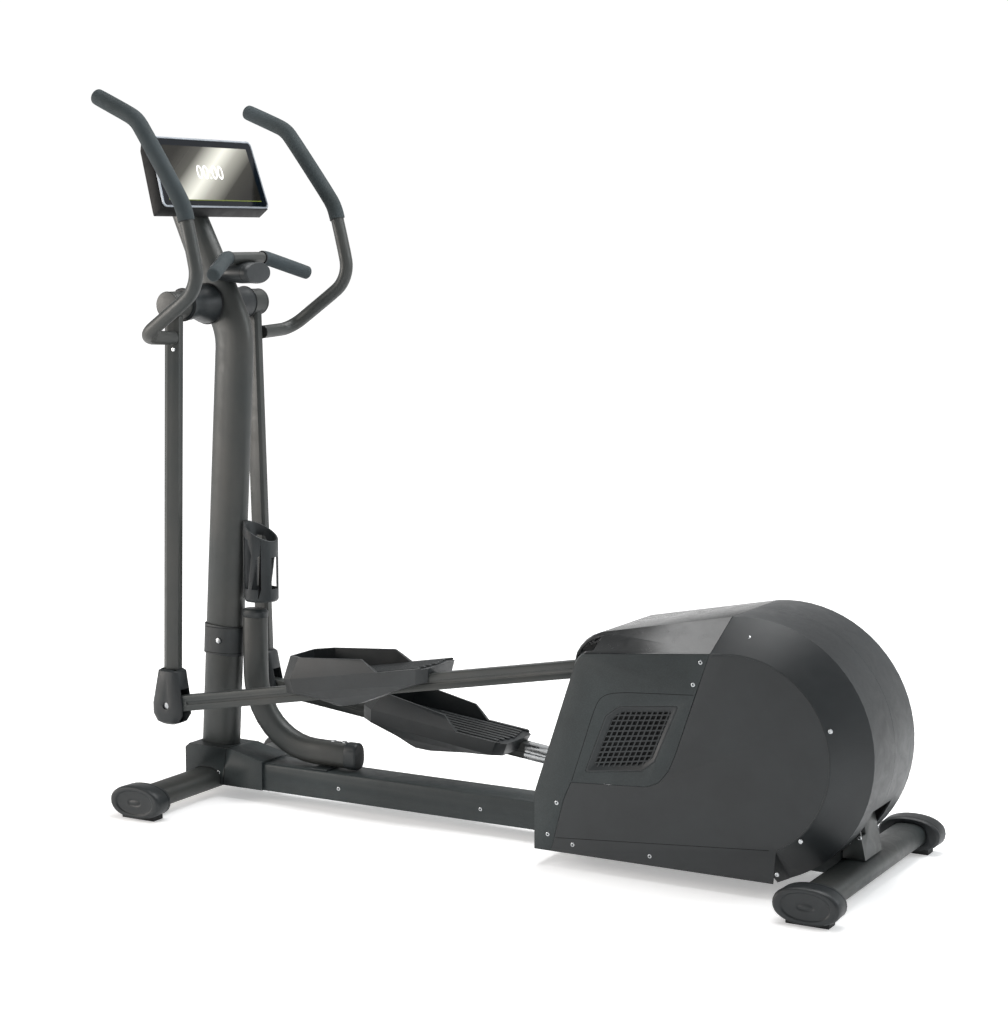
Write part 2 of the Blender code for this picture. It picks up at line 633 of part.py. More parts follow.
def boot(side_name, side, parent):
    """The cover over the lever's lower end, open at the back for the rail."""
    rings = []
    for half_x, half_y, z in ((0.018, 0.018, -0.045), (0.032, BOOT_HALF_WIDTH - 0.003, -0.039),
                              (0.043, BOOT_HALF_WIDTH, -0.022), (0.044, BOOT_HALF_WIDTH, 0.002),
                              (0.030, 0.0245, 0.080), (0.024, 0.020, 0.084)):
        rings.append([Vector((u - 0.002, side * RAIL_PLANE + v, z - ROCKER_LENGTH))
                      for u, v in oval(2 * half_x, 2 * half_y, 24, 3.5)])
    body = loft("boot_" + side_name, rings)
    half_slot = RAIL_WIDTH / 2 + 0.0012
    slot = box("boot_slot_" + side_name, (-0.026, side * RAIL_PLANE - half_slot, -0.040 - ROCKER_LENGTH),
               (0.080, side * RAIL_PLANE + half_slot, 0.040 - ROCKER_LENGTH))
    boolean(body, as_cutter(slot, parent))
    half_x, half_y = LEVER_DEPTH / 2 + FIT_GAP, LEVER_WIDTH / 2 + 0.0035
    socket = box("boot_socket_" + side_name,
                 (-half_x, side * RAIL_PLANE - half_y, LEVER_END - ROCKER_LENGTH - FIT_GAP),
                 (half_x, side * RAIL_PLANE + half_y, 0.12 - ROCKER_LENGTH))
    boolean(body, as_cutter(socket, parent))
    low, high = side * RAIL_PLANE - 0.05, side * RAIL_PLANE + 0.05
    hole = cross_cylinder("boot_pin_hole_" + side_name, PIN_RADIUS + FIT_GAP, low, high, 0.0, -ROCKER_LENGTH, 24)
    boolean(body, as_cutter(hole, parent))
    return place(body, dark_plastic(), parent)


def rail_pin(side_name, side, parent):
    """The pin through the boot's walls and the rail's eye."""
    half = BOOT_HALF_WIDTH - 0.0035
    pin = cross_cylinder("rail_pin_" + side_name, PIN_RADIUS, side * RAIL_PLANE - half,
                         side * RAIL_PLANE + half, 0.0, 0.0, 24)
    return place(pin, bright_steel(), parent)


# ---------------------------------------------------------------- rails and pedals
def rail_outline(start, end, tapered):
    half = RAIL_HEIGHT / 2
    outline = [(end, -half), (end, half)]
    if tapered:
        outline = [(end, -half), (end, -half + RAIL_TIP_HEIGHT), (end - RAIL_TAPER, half)]
    if start > 0:
        return outline + [(start, half), (start, -half)]
    reach = math.sqrt(RAIL_EYE_RADIUS ** 2 - half ** 2)
    first = math.atan2(half, reach)
    turn = 2 * (math.pi - first)
    return outline + [(RAIL_EYE_RADIUS * math.cos(first + turn * i / 16),
                       RAIL_EYE_RADIUS * math.sin(first + turn * i / 16)) for i in range(17)]


def rail_piece(name, start, end, side, parent, surface, tapered=True):
    """A stretch of the rail's profile, grooved along both sides; the first one has the eye."""
    low, high = side * RAIL_PLANE - RAIL_WIDTH / 2, side * RAIL_PLANE + RAIL_WIDTH / 2
    rail = slab(name, rail_outline(start, end, tapered), low, high)
    groove_start = max(start - 0.01, 0.050)
    groove_end = end - RAIL_TAPER if tapered else end + 0.01
    for label, inner, outer in (("inner", low - 0.01, low + GROOVE_DEPTH),
                                ("outer", high - GROOVE_DEPTH, high + 0.01)):
        groove = box(name + "_groove_" + label, (groove_start, inner, -GROOVE_HEIGHT / 2),
                     (groove_end, outer, GROOVE_HEIGHT / 2))
        boolean(rail, as_cutter(groove, parent))
    if start <= 0:
        eye = cross_cylinder(name + "_eye", PIN_RADIUS + FIT_GAP, low - 0.01, high + 0.01, 0.0, 0.0, 24)
        boolean(rail, as_cutter(eye, parent))
    return place(rail, surface, parent)


def pedal_ring(side, front, rear, half_width, corner, front_z, rear_z):
    """A tray outline with cut corners, narrower at the toe, its height falling towards the heel."""
    plan = [(front, -half_width + corner), (front, half_width - corner),
            (front + corner * 1.6, half_width), (rear - corner, half_width),
            (rear, half_width - corner), (rear, -half_width + corner),
            (rear - corner, -half_width), (front + corner * 1.6, -half_width)]
    fall = (rear_z - front_z) / (rear - front)
    return [Vector((x, side * (PEDAL_PLANE + y), front_z + fall * (x - front))) for x, y in plan]


def wall_top(along):
    """The height of the pedal's wall tops at a distance along the rail."""
    toe = PEDAL_FRONT + 0.024
    return TOE_WALL_TOP + (SIDE_WALL_TOP - TOE_WALL_TOP) * (along - toe) / (WALL_TOP_END - toe)


def pedal(side_name, side, parent):
    """A moulded foot tray: a boat-shaped body over the rail with a toe wall and two side walls."""
    half = PEDAL_WIDTH / 2
    front, rear, floor, keel = PEDAL_FRONT, PEDAL_REAR, PEDAL_FLOOR, PEDAL_KEEL
    rings = [pedal_ring(side, front + 0.120, rear - 0.190, half - 0.034, 0.014, keel, keel + 0.004),
             pedal_ring(side, front + 0.078, rear - 0.085, half - 0.020, 0.016, keel + 0.020, keel + 0.026),
             pedal_ring(side, front, rear - 0.012, half - 0.008, 0.020, floor - 0.029, floor - 0.034),
             pedal_ring(side, front + 0.002, rear, half, 0.020, floor + 0.004, floor),
             pedal_ring(side, front + 0.024, rear, half - 0.005, 0.024, wall_top(front + 0.024), wall_top(rear))]
    tray = loft("pedal_" + side_name, rings)
    wall = 0.0055
    tread = floor - 0.003
    hollow = loft("pedal_hollow_" + side_name,
                  [pedal_ring(side, front + 0.016, rear + 0.05, half - wall - 0.004, 0.024, tread, tread),
                   pedal_ring(side, front + 0.034, rear + 0.05, half - wall - 0.004, 0.028, 0.12, 0.12)])
    boolean(tray, as_cutter(hollow, parent))
    outline = [(WALL_FOOT_END, floor + 0.0007), (WALL_TOP_END, SIDE_WALL_TOP), (WALL_TOP_END - 0.01, 0.12),
               (rear + 0.1, 0.12), (rear + 0.1, floor + 0.0007)]
    open_heel = slab("pedal_open_heel_" + side_name, outline, *along_y(side, 0.0, 0.3))
    boolean(tray, as_cutter(open_heel, parent))
    half_rail = RAIL_WIDTH / 2 + FIT_GAP
    tunnel = box("pedal_tunnel_" + side_name,
                 (front - 0.1, side * RAIL_PLANE - half_rail, -RAIL_HEIGHT / 2 - FIT_GAP),
                 (rear + 0.1, side * RAIL_PLANE + half_rail, RAIL_HEIGHT / 2 + FIT_GAP))
    boolean(tray, as_cutter(tunnel, parent))
    return place(tray, dark_plastic(), parent, sharp=30)


def linkage(side_name, side):
    """One side's lever, bar, pin, rail and pedal, on empties at their joints."""
    joint = rail_front_pivot(crank_pin(side))
    lean = math.atan2(HUB_X - joint.x, HUB_Z - joint.y)
    lever_pivot = pivot("lever_pivot_" + side_name, (HUB_X, 0.0, HUB_Z), lean)
    lever_hub(side_name, side, lever_pivot)
    lever_tube(side_name, side, lever_pivot)
    handlebar(side_name, side, lever_pivot)
    boot(side_name, side, lever_pivot)
    pin = crank_pin(side)
    slope = math.atan2(pin.y - joint.y, pin.x - joint.x)
    pin_pivot = pivot("pin_pivot_" + side_name, (joint.x, 0.0, joint.y))
    rail_pin(side_name, side, pin_pivot)
    rail_pivot = pivot("rail_pivot_" + side_name, (joint.x, 0.0, joint.y), -slope)
    end = RAIL_LENGTH - RAIL_OPEN_END
    if side < 0:
        rail_piece("rail_" + side_name, 0.0, end, side, rail_pivot, painted_steel())
    else:
        split = PEDAL_REAR + 0.004
        rail_piece("rail_" + side_name, 0.0, split, side, rail_pivot, painted_steel(), False)
        rail_piece("rail_tail_" + side_name, split + FIT_GAP, end, side, rail_pivot, bright_steel())
    pedal(side_name, side, rail_pivot)


# ---------------------------------------------------------------- static handlebar and console
def handlebar_stem():
    """An oval arm from the mast's back, with a seat for the cross bar on top."""
    rings = [[Vector((x, u * scale, STEM_Z + v * scale)) for u, v in oval(STEM_WIDTH, STEM_HEIGHT, 28, 2.2)]
             for x, scale in ((-0.770, 0.80), (-0.735, 0.86), (-0.700, 1.0), (STEM_REAR_X - 0.005, 1.0),
                              (STEM_REAR_X, 0.90))]
    stem = loft("handlebar_stem", rings)
    boolean(stem, mast_cutter("stem_mast_cut", FIT_GAP))
    seat = cross_cylinder("stem_bar_seat", CROSS_RADIUS + FIT_GAP, -0.1, 0.1, CROSS_X, CROSS_Z)
    boolean(stem, as_cutter(seat))
    return place(stem, dark_plastic())


def static_path():
    corners = [(GRIP_END_X, -GRIP_END_Y, GRIP_END_Z), (CROSS_X, -CROSS_BEND_Y, CROSS_Z),
               (CROSS_X, CROSS_BEND_Y, CROSS_Z), (GRIP_END_X, GRIP_END_Y, GRIP_END_Z)]
    return rounded_path(corners, [0.036, 0.036])


def static_handlebar():
    path = static_path()
    bar = tube("static_handlebar", trimmed(path, 0.010, 0.010), CROSS_RADIUS)
    place(bar, painted_steel(), sharp=50)
    middle = len(path) // 2
    for side_name, side in SIDES:
        half = path[:middle][::-1] if side < 0 else path[middle:]       # from the bend's start to the tip
        grip = tube("static_grip_" + side_name, half, CROSS_GRIP_RADIUS)
        lead_in = half[0] - Vector((0.0, side * 0.010, 0.0))
        bore = tube("static_bore_" + side_name, [lead_in] + trimmed(half, 0.0, 0.0095), bore_radius(CROSS_RADIUS))
        boolean(grip, as_cutter(bore))
        place(grip, foam_rubber(), sharp=50)


def console_frame(obj):
    """Stands a piece modelled flat, facing +X about the origin, at the console's place and tilt."""
    obj.location = (CONSOLE_X, 0.0, CONSOLE_Z)
    obj.rotation_euler = (0.0, -CONSOLE_TILT, 0.0)
    return obj


def console_sides(gap):
    """The side outlines of the console's housing and of its mount, as (x, z) in the console's frame."""
    half = CONSOLE_HEIGHT / 2
    face, back = -BEZEL_DEPTH - FIT_GAP + gap, -HOUSING_BACK - gap
    housing = [(face, -half - gap), (face, half + gap), (back + 0.010, half + gap),
               (back, half - HOUSING_STEP + gap),
               (back, -half - HOUSING_DROP - gap)]
    low, top = -half + 0.004 - gap, -0.010 + gap
    mount = [(back + 0.004, low), (back + 0.004, top + 0.030), (back - MOUNT_REACH + 0.042, top),
             (back - MOUNT_REACH, top - 0.020), (back - MOUNT_REACH, low + 0.030),
             (back - MOUNT_REACH + 0.032, low + 0.006)]
    return housing, mount


def console_cutter(name):
    """What the mast's top is cut back by."""
    housing, mount = console_sides(FIT_GAP)
    cutter = slab(name, housing, -0.1, 0.1)
    reach = MOUNT_HALF_WIDTH + FIT_GAP
    boolean(cutter, console_frame(as_cutter(slab(name + "_mount", mount, -reach, reach))), "UNION")
    return console_frame(as_cutter(cutter))


def tapered_box(name, low_x, high_x):
    """A plate across the console's face, narrower at its top."""
    half_z, low_y, top_y = CONSOLE_HEIGHT / 2, CONSOLE_LOW_WIDTH / 2, CONSOLE_TOP_WIDTH / 2
    corners = ((-low_y, -half_z), (low_y, -half_z), (top_y, half_z), (-top_y, half_z))
    rings = [[Vector((x, y, z)) for y, z in corners] for x in (low_x, high_x)]
    return loft(name, rings)


def console():
    housing_side, mount_side = console_sides(0.0)
    housing = slab("console_housing", housing_side, -CONSOLE_LOW_WIDTH / 2, CONSOLE_LOW_WIDTH / 2)
    for side_name, side in SIDES:
        lean = (CONSOLE_LOW_WIDTH - CONSOLE_TOP_WIDTH) / 2 / CONSOLE_HEIGHT
        low, top = -0.2, 0.2
        trim = [Vector((x, side * (CONSOLE_LOW_WIDTH / 2 - lean * (z + CONSOLE_HEIGHT / 2) + away), z))
                for x, away, z in ((-0.2, 0.0, low), (-0.2, 0.2, low), (-0.2, 0.2, top), (-0.2, 0.0, top))]
        cut = loft("console_trim_" + side_name, [trim, [point + Vector((0.4, 0.0, 0.0)) for point in trim]])
        boolean(housing, console_frame(as_cutter(cut)))
    bevel(housing, 0.006)
    mount = slab("console_mount", mount_side, -MOUNT_HALF_WIDTH, MOUNT_HALF_WIDTH)
    boolean(housing, console_frame(as_cutter(mount)), "UNION")
    place(console_frame(housing), gloss_black())
    place(console_frame(tapered_box("console_glass", -BEZEL_DEPTH, 0.0)), gloss_black())


# ---------------------------------------------------------------- drive casing
def casing_ring(share, y, inset=0.0, low=None):
    """The casing's side outline: share 0 is the crown, share 1 the side face."""
    radius = DRUM_RADIUS + (PANEL_RADIUS - DRUM_RADIUS) * share - inset
    bottom = (CASING_LOW + (SIDE_LOW - CASING_LOW) * share) if low is None else low
    front_low = 0.169 + inset
    shoulder = Vector((0.232, 0.448)).lerp(Vector((0.262, 0.434)), share) + Vector((inset, -inset * 0.4))
    nose = Vector((0.290, 0.497)).lerp(Vector((0.286, 0.461)), share) + Vector((inset * 0.6, -inset))
    first = math.radians(97.0)
    last = math.radians(-69.0 + 6.3 * share)
    outline = [(front_low, bottom), (front_low, 0.155)]
    for i in range(5):
        bend = i / 4
        corner = shoulder.lerp(nose, 0.5) + Vector((-0.012, 0.012)) * (1 - 0.6 * share)
        point = shoulder.lerp(corner, bend).lerp(corner.lerp(nose, bend), bend)
        outline.append(tuple(point))
    for i in range(33):
        angle = first + (last - first) * i / 32
        outline.append((DRUM_X + radius * math.cos(angle), DRUM_Z + radius * math.sin(angle)))
    outline.append((outline[-1][0] - 0.006, bottom))
    return [Vector((x, y, z)) for x, z in outline]


def casing_solid(name, inset, low=None):
    edge = SIDE_Y - inset
    crown = CROWN_Y - inset * 0.4
    rings = [casing_ring(1.0, -edge, inset, low), casing_ring(0.0, -crown, inset, low),
             casing_ring(0.0, crown, inset, low), casing_ring(1.0, edge, inset, low)]
    return loft(name, rings)


def top_seam():
    """The line between the glossy top cover and the side covers, front to back, as (x, z)."""
    return [(0.10, 0.447), (0.276, 0.4605), (0.5665, 0.4865)]


def side_seam():
    """The line between the front and rear covers, top to bottom, as (x, z)."""
    return [(0.5665, 0.4865), (0.536, 0.399), (0.493, 0.271), (0.478, 0.236), (0.457, 0.210), (0.428, 0.198),
            (0.255, 0.187), (0.238, 0.147), (0.205, 0.020)]


def shifted(line, dx, dz):
    return [(x + dx, z + dz) for x, z in line]


def region(name, outline, low_y, high_y):
    return as_cutter(slab(name, outline, low_y, high_y))


def casing_piece(name, outline, low_y, high_y, surface):
    """One cover: the casing's wall inside a side-view outline, between two planes."""
    cover = casing_solid(name, 0.0)
    boolean(cover, as_cutter(casing_solid(name + "_hollow", CASING_WALL, CASING_LOW - 0.03)))
    boolean(cover, region(name + "_region", outline, low_y, high_y), "INTERSECT")
    return place(cover, surface, sharp=24)


def grille_outline(scale):
    corners = [(0.287, 0.212), (0.343, 0.357), (0.500, 0.374), (0.440, 0.232)]
    centre = Vector((sum(x for x, z in corners) / 4, sum(z for x, z in corners) / 4))
    points = []
    for i, corner in enumerate(corners):
        here = Vector(corner)
        before, after = Vector(corners[i - 1]), Vector(corners[(i + 1) % 4])
        cut = 0.14 if i % 2 else 0.03
        for point in (here.lerp(before, cut), here.lerp(after, cut)):
            points.append(centre + (point - centre) * scale)
    return points


def grille(side_name, side):
    """A recessed vent: a sloping frame with a plate at its back."""
    outer = [Vector((p.x, side * (SIDE_Y - 0.0004), p.y)) for p in grille_outline(0.995)]
    back = [Vector((p.x, side * (SIDE_Y - GRILLE_DEPTH - GRILLE_PLATE), p.y)) for p in grille_outline(0.995)]
    frame = loft("grille_" + side_name, [back, outer])
    mouth = [Vector((p.x, side * (SIDE_Y + 0.001), p.y)) for p in grille_outline(0.97)]
    floor = [Vector((p.x, side * (SIDE_Y - GRILLE_DEPTH), p.y)) for p in grille_outline(0.80)]
    boolean(frame, as_cutter(loft("grille_dish_" + side_name, [floor, mouth])))
    return place(frame, dark_plastic())


def casing():
    seam, top, side_line = SEAM / 2, top_seam(), side_seam()
    reach = 0.30
    for side_name, side in SIDES:
        low_y, high_y = along_y(side, FIT_GAP, reach)
        front_outline = [(0.10, 0.01)] + shifted(top, -seam, -seam) + shifted(side_line[1:], -seam, seam)
        front = casing_piece("front_shroud_" + side_name, front_outline, low_y, high_y, shroud_plastic())
        slot_y = along_y(side, SLOT_INNER_Y, SLOT_OUTER_Y)
        slot = box("rail_slot_" + side_name, (0.10, slot_y[0], SLOT_LOW), (SLOT_REAR_X, slot_y[1], 0.60))
        boolean(front, as_cutter(slot))
        hole_y = along_y(side, SIDE_Y - 0.02, SIDE_Y + 0.02)
        hole = slab("grille_hole_" + side_name, [tuple(p) for p in grille_outline(1.0)], *hole_y)
        boolean(front, as_cutter(hole))
        beam = as_cutter(box("casing_beam_gap_" + side_name, (0.10, -BEAM_WIDTH / 2 - BEAM_CLEARANCE, 0.0),
                             (0.90, BEAM_WIDTH / 2 + BEAM_CLEARANCE, BEAM_TOP + BEAM_CLEARANCE)))
        boolean(front, beam)
        rear_outline = ([(0.5665 + seam, 0.4865 + seam), (0.603 + seam, 0.62), (1.0, 0.62), (1.0, 0.0)]
                        + shifted(side_line[:0:-1], seam, -seam))
        rear = casing_piece("rear_shroud_" + side_name, rear_outline, low_y, high_y, shroud_plastic())
        recess = box("rear_recess_" + side_name, (BRACKET_FRONT_X - 0.03, -BRACKET_HALF_WIDTH - 0.004, 0.0),
                     (1.0, BRACKET_HALF_WIDTH + 0.004, BRACKET_TOP + 0.006))
        boolean(rear, as_cutter(recess))
        boolean(rear, beam)
        grille(side_name, side)
    top_outline = [(0.10, 0.62)] + shifted(top, -seam, seam) + [(0.603 - seam, 0.62)]
    cover = casing_piece("top_cover", top_outline, -reach, reach, gloss_black())
    for side_name, side in SIDES:
        boolean(cover, bpy.data.objects["rail_slot_" + side_name])


# ---------------------------------------------------------------- drive
def plate_outline():
    """The drive's side plate: from the beam up to the crank and flywheel axles."""
    low = BEAM_TOP + FIT_GAP
    return [(0.300, low), (0.325, 0.262), (0.345, 0.284), (0.385, 0.284), (0.590, 0.322), (0.650, 0.322),
            (0.668, 0.300), (0.700, low)]


def drive_plate(side_name, side):
    low_y, high_y = along_y(side, PLATE_Y - PLATE_THICKNESS / 2, PLATE_Y + PLATE_THICKNESS / 2)
    plate = slab("drive_plate_" + side_name, plate_outline(), low_y, high_y)
    seat = cross_cylinder("bearing_seat_" + side_name, BEARING_RADIUS + FIT_GAP, -0.1, 0.1, CRANK_X, CRANK_Z)
    boolean(plate, as_cutter(seat))
    if side < 0:
        reach = PLATE_Y + PLATE_THICKNESS / 2 + STUD_OVERHANG
        stud = cross_cylinder("flywheel_stud", STUD_RADIUS, -reach, reach, FLYWHEEL_X, FLYWHEEL_Z, 20)
        boolean(plate, as_cutter(stud), "UNION")
    else:
        hole = cross_cylinder("flywheel_stud_hole", STUD_RADIUS + FIT_GAP, -0.1, 0.1, FLYWHEEL_X, FLYWHEEL_Z)
        boolean(plate, as_cutter(hole))
    return place(plate, painted_steel())


def crank_bearing(side_name, side):
    low_y, high_y = along_y(side, PLATE_Y - 0.006, PLATE_Y + 0.006)
    ring = cross_cylinder("crank_bearing_" + side_name, BEARING_RADIUS, low_y, high_y, CRANK_X, CRANK_Z)
    bore = cross_cylinder("bearing_bore_" + side_name, AXLE_RADIUS + 0.0001, -0.1, 0.1, CRANK_X, CRANK_Z)
    boolean(ring, as_cutter(bore))
    return place(ring, bright_steel())


def crank():
    """The axle, its two arms half a turn apart and the driven pulley, about the crank's axis."""
    turn = pivot("crank_pivot", (CRANK_X, 0.0, CRANK_Z), -CRANK_ANGLE)
    place(cross_cylinder("crank_axle", AXLE_RADIUS, -ARM_OUTER_Y, ARM_OUTER_Y), bright_steel(), turn)
    for side_name, side in SIDES:
        low_y, high_y = along_y(side, ARM_INNER_Y, ARM_OUTER_Y)
        far = -side * CRANK_RADIUS
        ends = ((0.0, 0.024, -side), (far, 0.018, side))
        outline = []
        for x, radius, facing in ends:
            for i in range(13):
                angle = math.pi / 2 + math.pi * i / 12
                outline.append((x + facing * radius * math.cos(angle), -facing * radius * math.sin(angle)))
        arm = slab("crank_arm_" + side_name, outline, low_y, high_y)
        pin_y = along_y(side, ARM_INNER_Y + 0.002, PIN_END_Y)
        pin = cross_cylinder("crank_pin_" + side_name, 0.009, *pin_y, far, 0.0, 24)
        boolean(arm, as_cutter(pin, turn), "UNION")
        bore = cross_cylinder("arm_bore_" + side_name, AXLE_RADIUS + FIT_GAP, -0.2, 0.2)
        boolean(arm, as_cutter(bore, turn))
        place(arm, painted_steel(), turn)
    half = PULLEY_WIDTH / 2
    wheel = cross_cylinder("drive_pulley", PULLEY_RADIUS, PULLEY_Y - half, PULLEY_Y + half, sides=48)
    boolean(wheel, as_cutter(cross_cylinder("pulley_bore", AXLE_RADIUS + FIT_GAP, -0.1, 0.1), turn))
    for i in range(5):
        angle = 2 * math.pi * i / 5
        hole = cross_cylinder("pulley_hole_%d" % i, 0.034, -0.1, 0.1,
                              0.082 * math.cos(angle), 0.082 * math.sin(angle), 20)
        boolean(wheel, as_cutter(hole, turn))
    place(wheel, dark_plastic(), turn)


def flywheel():
    """The flywheel with its small belt pulley, on the stud of the left drive plate."""
    turn = pivot("flywheel_pivot", (FLYWHEEL_X, 0.0, FLYWHEEL_Z))
    half = FLYWHEEL_WIDTH / 2
    wheel = cross_cylinder("flywheel", FLYWHEEL_RADIUS, FLYWHEEL_Y - half, FLYWHEEL_Y + half, sides=48)
    rings = [[Vector((radius * math.cos(a), y, radius * math.sin(a)))
              for a in (2 * math.pi * i / 40 for i in range(40))]
             for radius, y in ((0.088, FLYWHEEL_Y + 0.004), (0.094, FLYWHEEL_Y + 0.03))]
    boolean(wheel, as_cutter(loft("flywheel_dish", rings), turn))
    pulley_y = (PULLEY_Y - PULLEY_WIDTH / 2, FLYWHEEL_Y)
    boolean(wheel, as_cutter(cross_cylinder("flywheel_pulley", SMALL_PULLEY_RADIUS, *pulley_y), turn), "UNION")
    boolean(wheel, as_cutter(cross_cylinder("flywheel_bore", STUD_RADIUS + FIT_GAP, -0.1, 0.1), turn))
    place(wheel, bright_steel(), turn)


def belt_outline(extra):
    """The belt's loop round the two pulleys, at a distance outside them."""
    big, small = PULLEY_RADIUS + extra, SMALL_PULLEY_RADIUS + extra
    span = Vector((FLYWHEEL_X - CRANK_X, FLYWHEEL_Z - CRANK_Z))
    heading = math.atan2(span.y, span.x)
    open_angle = math.acos((big - small) / span.length)
    outline = []
    for i in range(33):
        angle = heading + open_angle + (2 * math.pi - 2 * open_angle) * i / 32
        outline.append((CRANK_X + big * math.cos(angle), CRANK_Z + big * math.sin(angle)))
    for i in range(13):
        angle = heading - open_angle + 2 * open_angle * i / 12
        outline.append((FLYWHEEL_X + small * math.cos(angle), FLYWHEEL_Z + small * math.sin(angle)))
    return outline


def drive_belt():
    half = PULLEY_WIDTH / 2 - 0.002
    belt = slab("drive_belt", belt_outline(FIT_GAP * 2 + BELT_THICKNESS), PULLEY_Y - half, PULLEY_Y + half)
    inner = slab("belt_inner", belt_outline(FIT_GAP * 2), PULLEY_Y - 0.05, PULLEY_Y + 0.05)
    boolean(belt, as_cutter(inner))
    return place(belt, foam_rubber())


def rear_bracket():
    """The steel post on the rear stabiliser that carries the power inlet."""
    low = FOOT_Z + FOOT_TUBE_HEIGHT / 2 + FIT_GAP
    half = BRACKET_HALF_WIDTH
    outline = [(BRACKET_FRONT_X + 0.003, low), (BRACKET_FRONT_X + 0.003, BRACKET_TOP),
               (BRACKET_REAR_X - 0.022, BRACKET_TOP),
               (BRACKET_REAR_X, low)]
    post = slab("rear_bracket", outline, -half, half)
    pocket = box("inlet_pocket", (BRACKET_REAR_X - 0.030, -0.044, 0.114), (BRACKET_REAR_X + 0.01, -0.020, 0.150))
    boolean(post, as_cutter(pocket))
    place(post, painted_steel())
    gap = FIT_GAP
    inlet = box("power_inlet", (BRACKET_REAR_X - 0.030 + gap, -0.044 + gap, 0.114 + gap),
                (BRACKET_REAR_X - 0.019, -0.020 - gap, 0.150 - gap))
    slot = box("inlet_slot", (BRACKET_REAR_X - 0.024, -0.038, 0.121), (BRACKET_REAR_X, -0.026, 0.143))
    boolean(inlet, as_cutter(slot))
    place(inlet, gloss_black())


# ---------------------------------------------------------------- assembly
stabiliser("front_stabiliser", FOOT_FRONT_X)
stabiliser("rear_stabiliser", FOOT_REAR_X)
for end_name, end_x in (("front", FOOT_FRONT_X), ("rear", FOOT_REAR_X)):
    for hand, sign in SIDES:
        foot_cap(end_name + "_foot_" + hand, end_x, sign)
base_beam()
beam_cover()
mast()
brace()
brace_bracket()
mast_band()
bottle_cage()
pivot_shaft()
handlebar_stem()
static_handlebar()
console()
crank()
flywheel()
drive_belt()
rear_bracket()
casing()
for hand, sign in SIDES:
    pivot_housing(hand, sign)
    drive_plate(hand, sign)
    crank_bearing(hand, sign)
    linkage(hand, sign)
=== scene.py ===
# %% [markdown]
# # Elliptical trainer with a rear drive
# The machine's frame, covers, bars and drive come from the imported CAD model, which also says how
# every piece moves. This lesson gives those pieces their finish: it welds and rounds the CAD
# shapes, adds the small things that were too fine for the solids, and makes the materials.

# %% Load the frame
import json
import math

import bmesh
import bpy
from mathutils import Matrix, Vector

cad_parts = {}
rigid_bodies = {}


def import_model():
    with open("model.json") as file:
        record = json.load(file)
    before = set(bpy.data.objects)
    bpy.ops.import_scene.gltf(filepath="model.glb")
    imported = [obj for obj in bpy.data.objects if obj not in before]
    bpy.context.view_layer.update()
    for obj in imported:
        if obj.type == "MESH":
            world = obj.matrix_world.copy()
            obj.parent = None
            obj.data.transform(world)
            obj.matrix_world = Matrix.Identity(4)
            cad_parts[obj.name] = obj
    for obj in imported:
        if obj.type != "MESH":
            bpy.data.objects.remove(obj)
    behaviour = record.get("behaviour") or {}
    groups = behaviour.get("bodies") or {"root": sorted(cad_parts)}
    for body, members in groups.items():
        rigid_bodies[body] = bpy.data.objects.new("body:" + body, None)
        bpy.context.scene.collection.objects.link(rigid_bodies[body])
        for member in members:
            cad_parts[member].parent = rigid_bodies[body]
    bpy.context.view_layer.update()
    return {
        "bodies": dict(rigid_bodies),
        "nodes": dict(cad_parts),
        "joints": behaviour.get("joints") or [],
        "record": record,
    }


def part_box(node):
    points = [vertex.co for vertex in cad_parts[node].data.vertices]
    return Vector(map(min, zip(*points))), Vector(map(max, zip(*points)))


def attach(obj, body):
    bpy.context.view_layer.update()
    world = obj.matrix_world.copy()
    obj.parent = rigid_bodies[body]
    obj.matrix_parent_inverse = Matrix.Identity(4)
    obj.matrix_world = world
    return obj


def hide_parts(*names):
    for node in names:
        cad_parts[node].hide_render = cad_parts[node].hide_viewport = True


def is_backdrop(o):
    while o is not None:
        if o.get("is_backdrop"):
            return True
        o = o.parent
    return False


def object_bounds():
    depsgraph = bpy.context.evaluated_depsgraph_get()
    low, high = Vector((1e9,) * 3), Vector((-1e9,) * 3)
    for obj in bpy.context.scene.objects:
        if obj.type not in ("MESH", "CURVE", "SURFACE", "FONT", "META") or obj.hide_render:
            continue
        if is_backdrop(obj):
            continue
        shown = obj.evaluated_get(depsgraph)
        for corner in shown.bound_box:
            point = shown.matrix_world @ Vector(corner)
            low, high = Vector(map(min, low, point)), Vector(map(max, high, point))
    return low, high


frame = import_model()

known = set(frame["nodes"].values()) | set(frame["bodies"].values())
for stray in [o for o in bpy.data.objects if o not in known]:
    bpy.data.objects.remove(stray, do_unlink=True)
SIDES = (("left", -1), ("right", 1))

# %% [markdown]
# ## Where things are
# The joints in the record give the axes that several pieces turn about, and the boxes of the CAD
# nodes give the faces that small pieces sit on. Reading them here keeps every added piece tied to
# the model, so it follows when the model changes.

# %% Axes and faces from the model
joints = {joint["name"]: Vector(joint["pos_m"]) for joint in frame["joints"]}
hub, crank_axis = joints["left_lever_swing"], joints["crank_turn"]
rail_joint = {"left": joints["left_pin_turn"], "right": joints["right_pin_turn"]}
side_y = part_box("rear_shroud_right")[1].y
print("hub", tuple(hub), "crank", tuple(crank_axis), "casing side", round(side_y, 4))

# %% [markdown]
# ## Working in edit mode from a script
# An operator acts on whatever is selected, so each step starts by selecting exactly what it
# should change. These helpers select objects, faces or edges, run a modifier and apply it, and
# move a finished piece's place into its mesh.


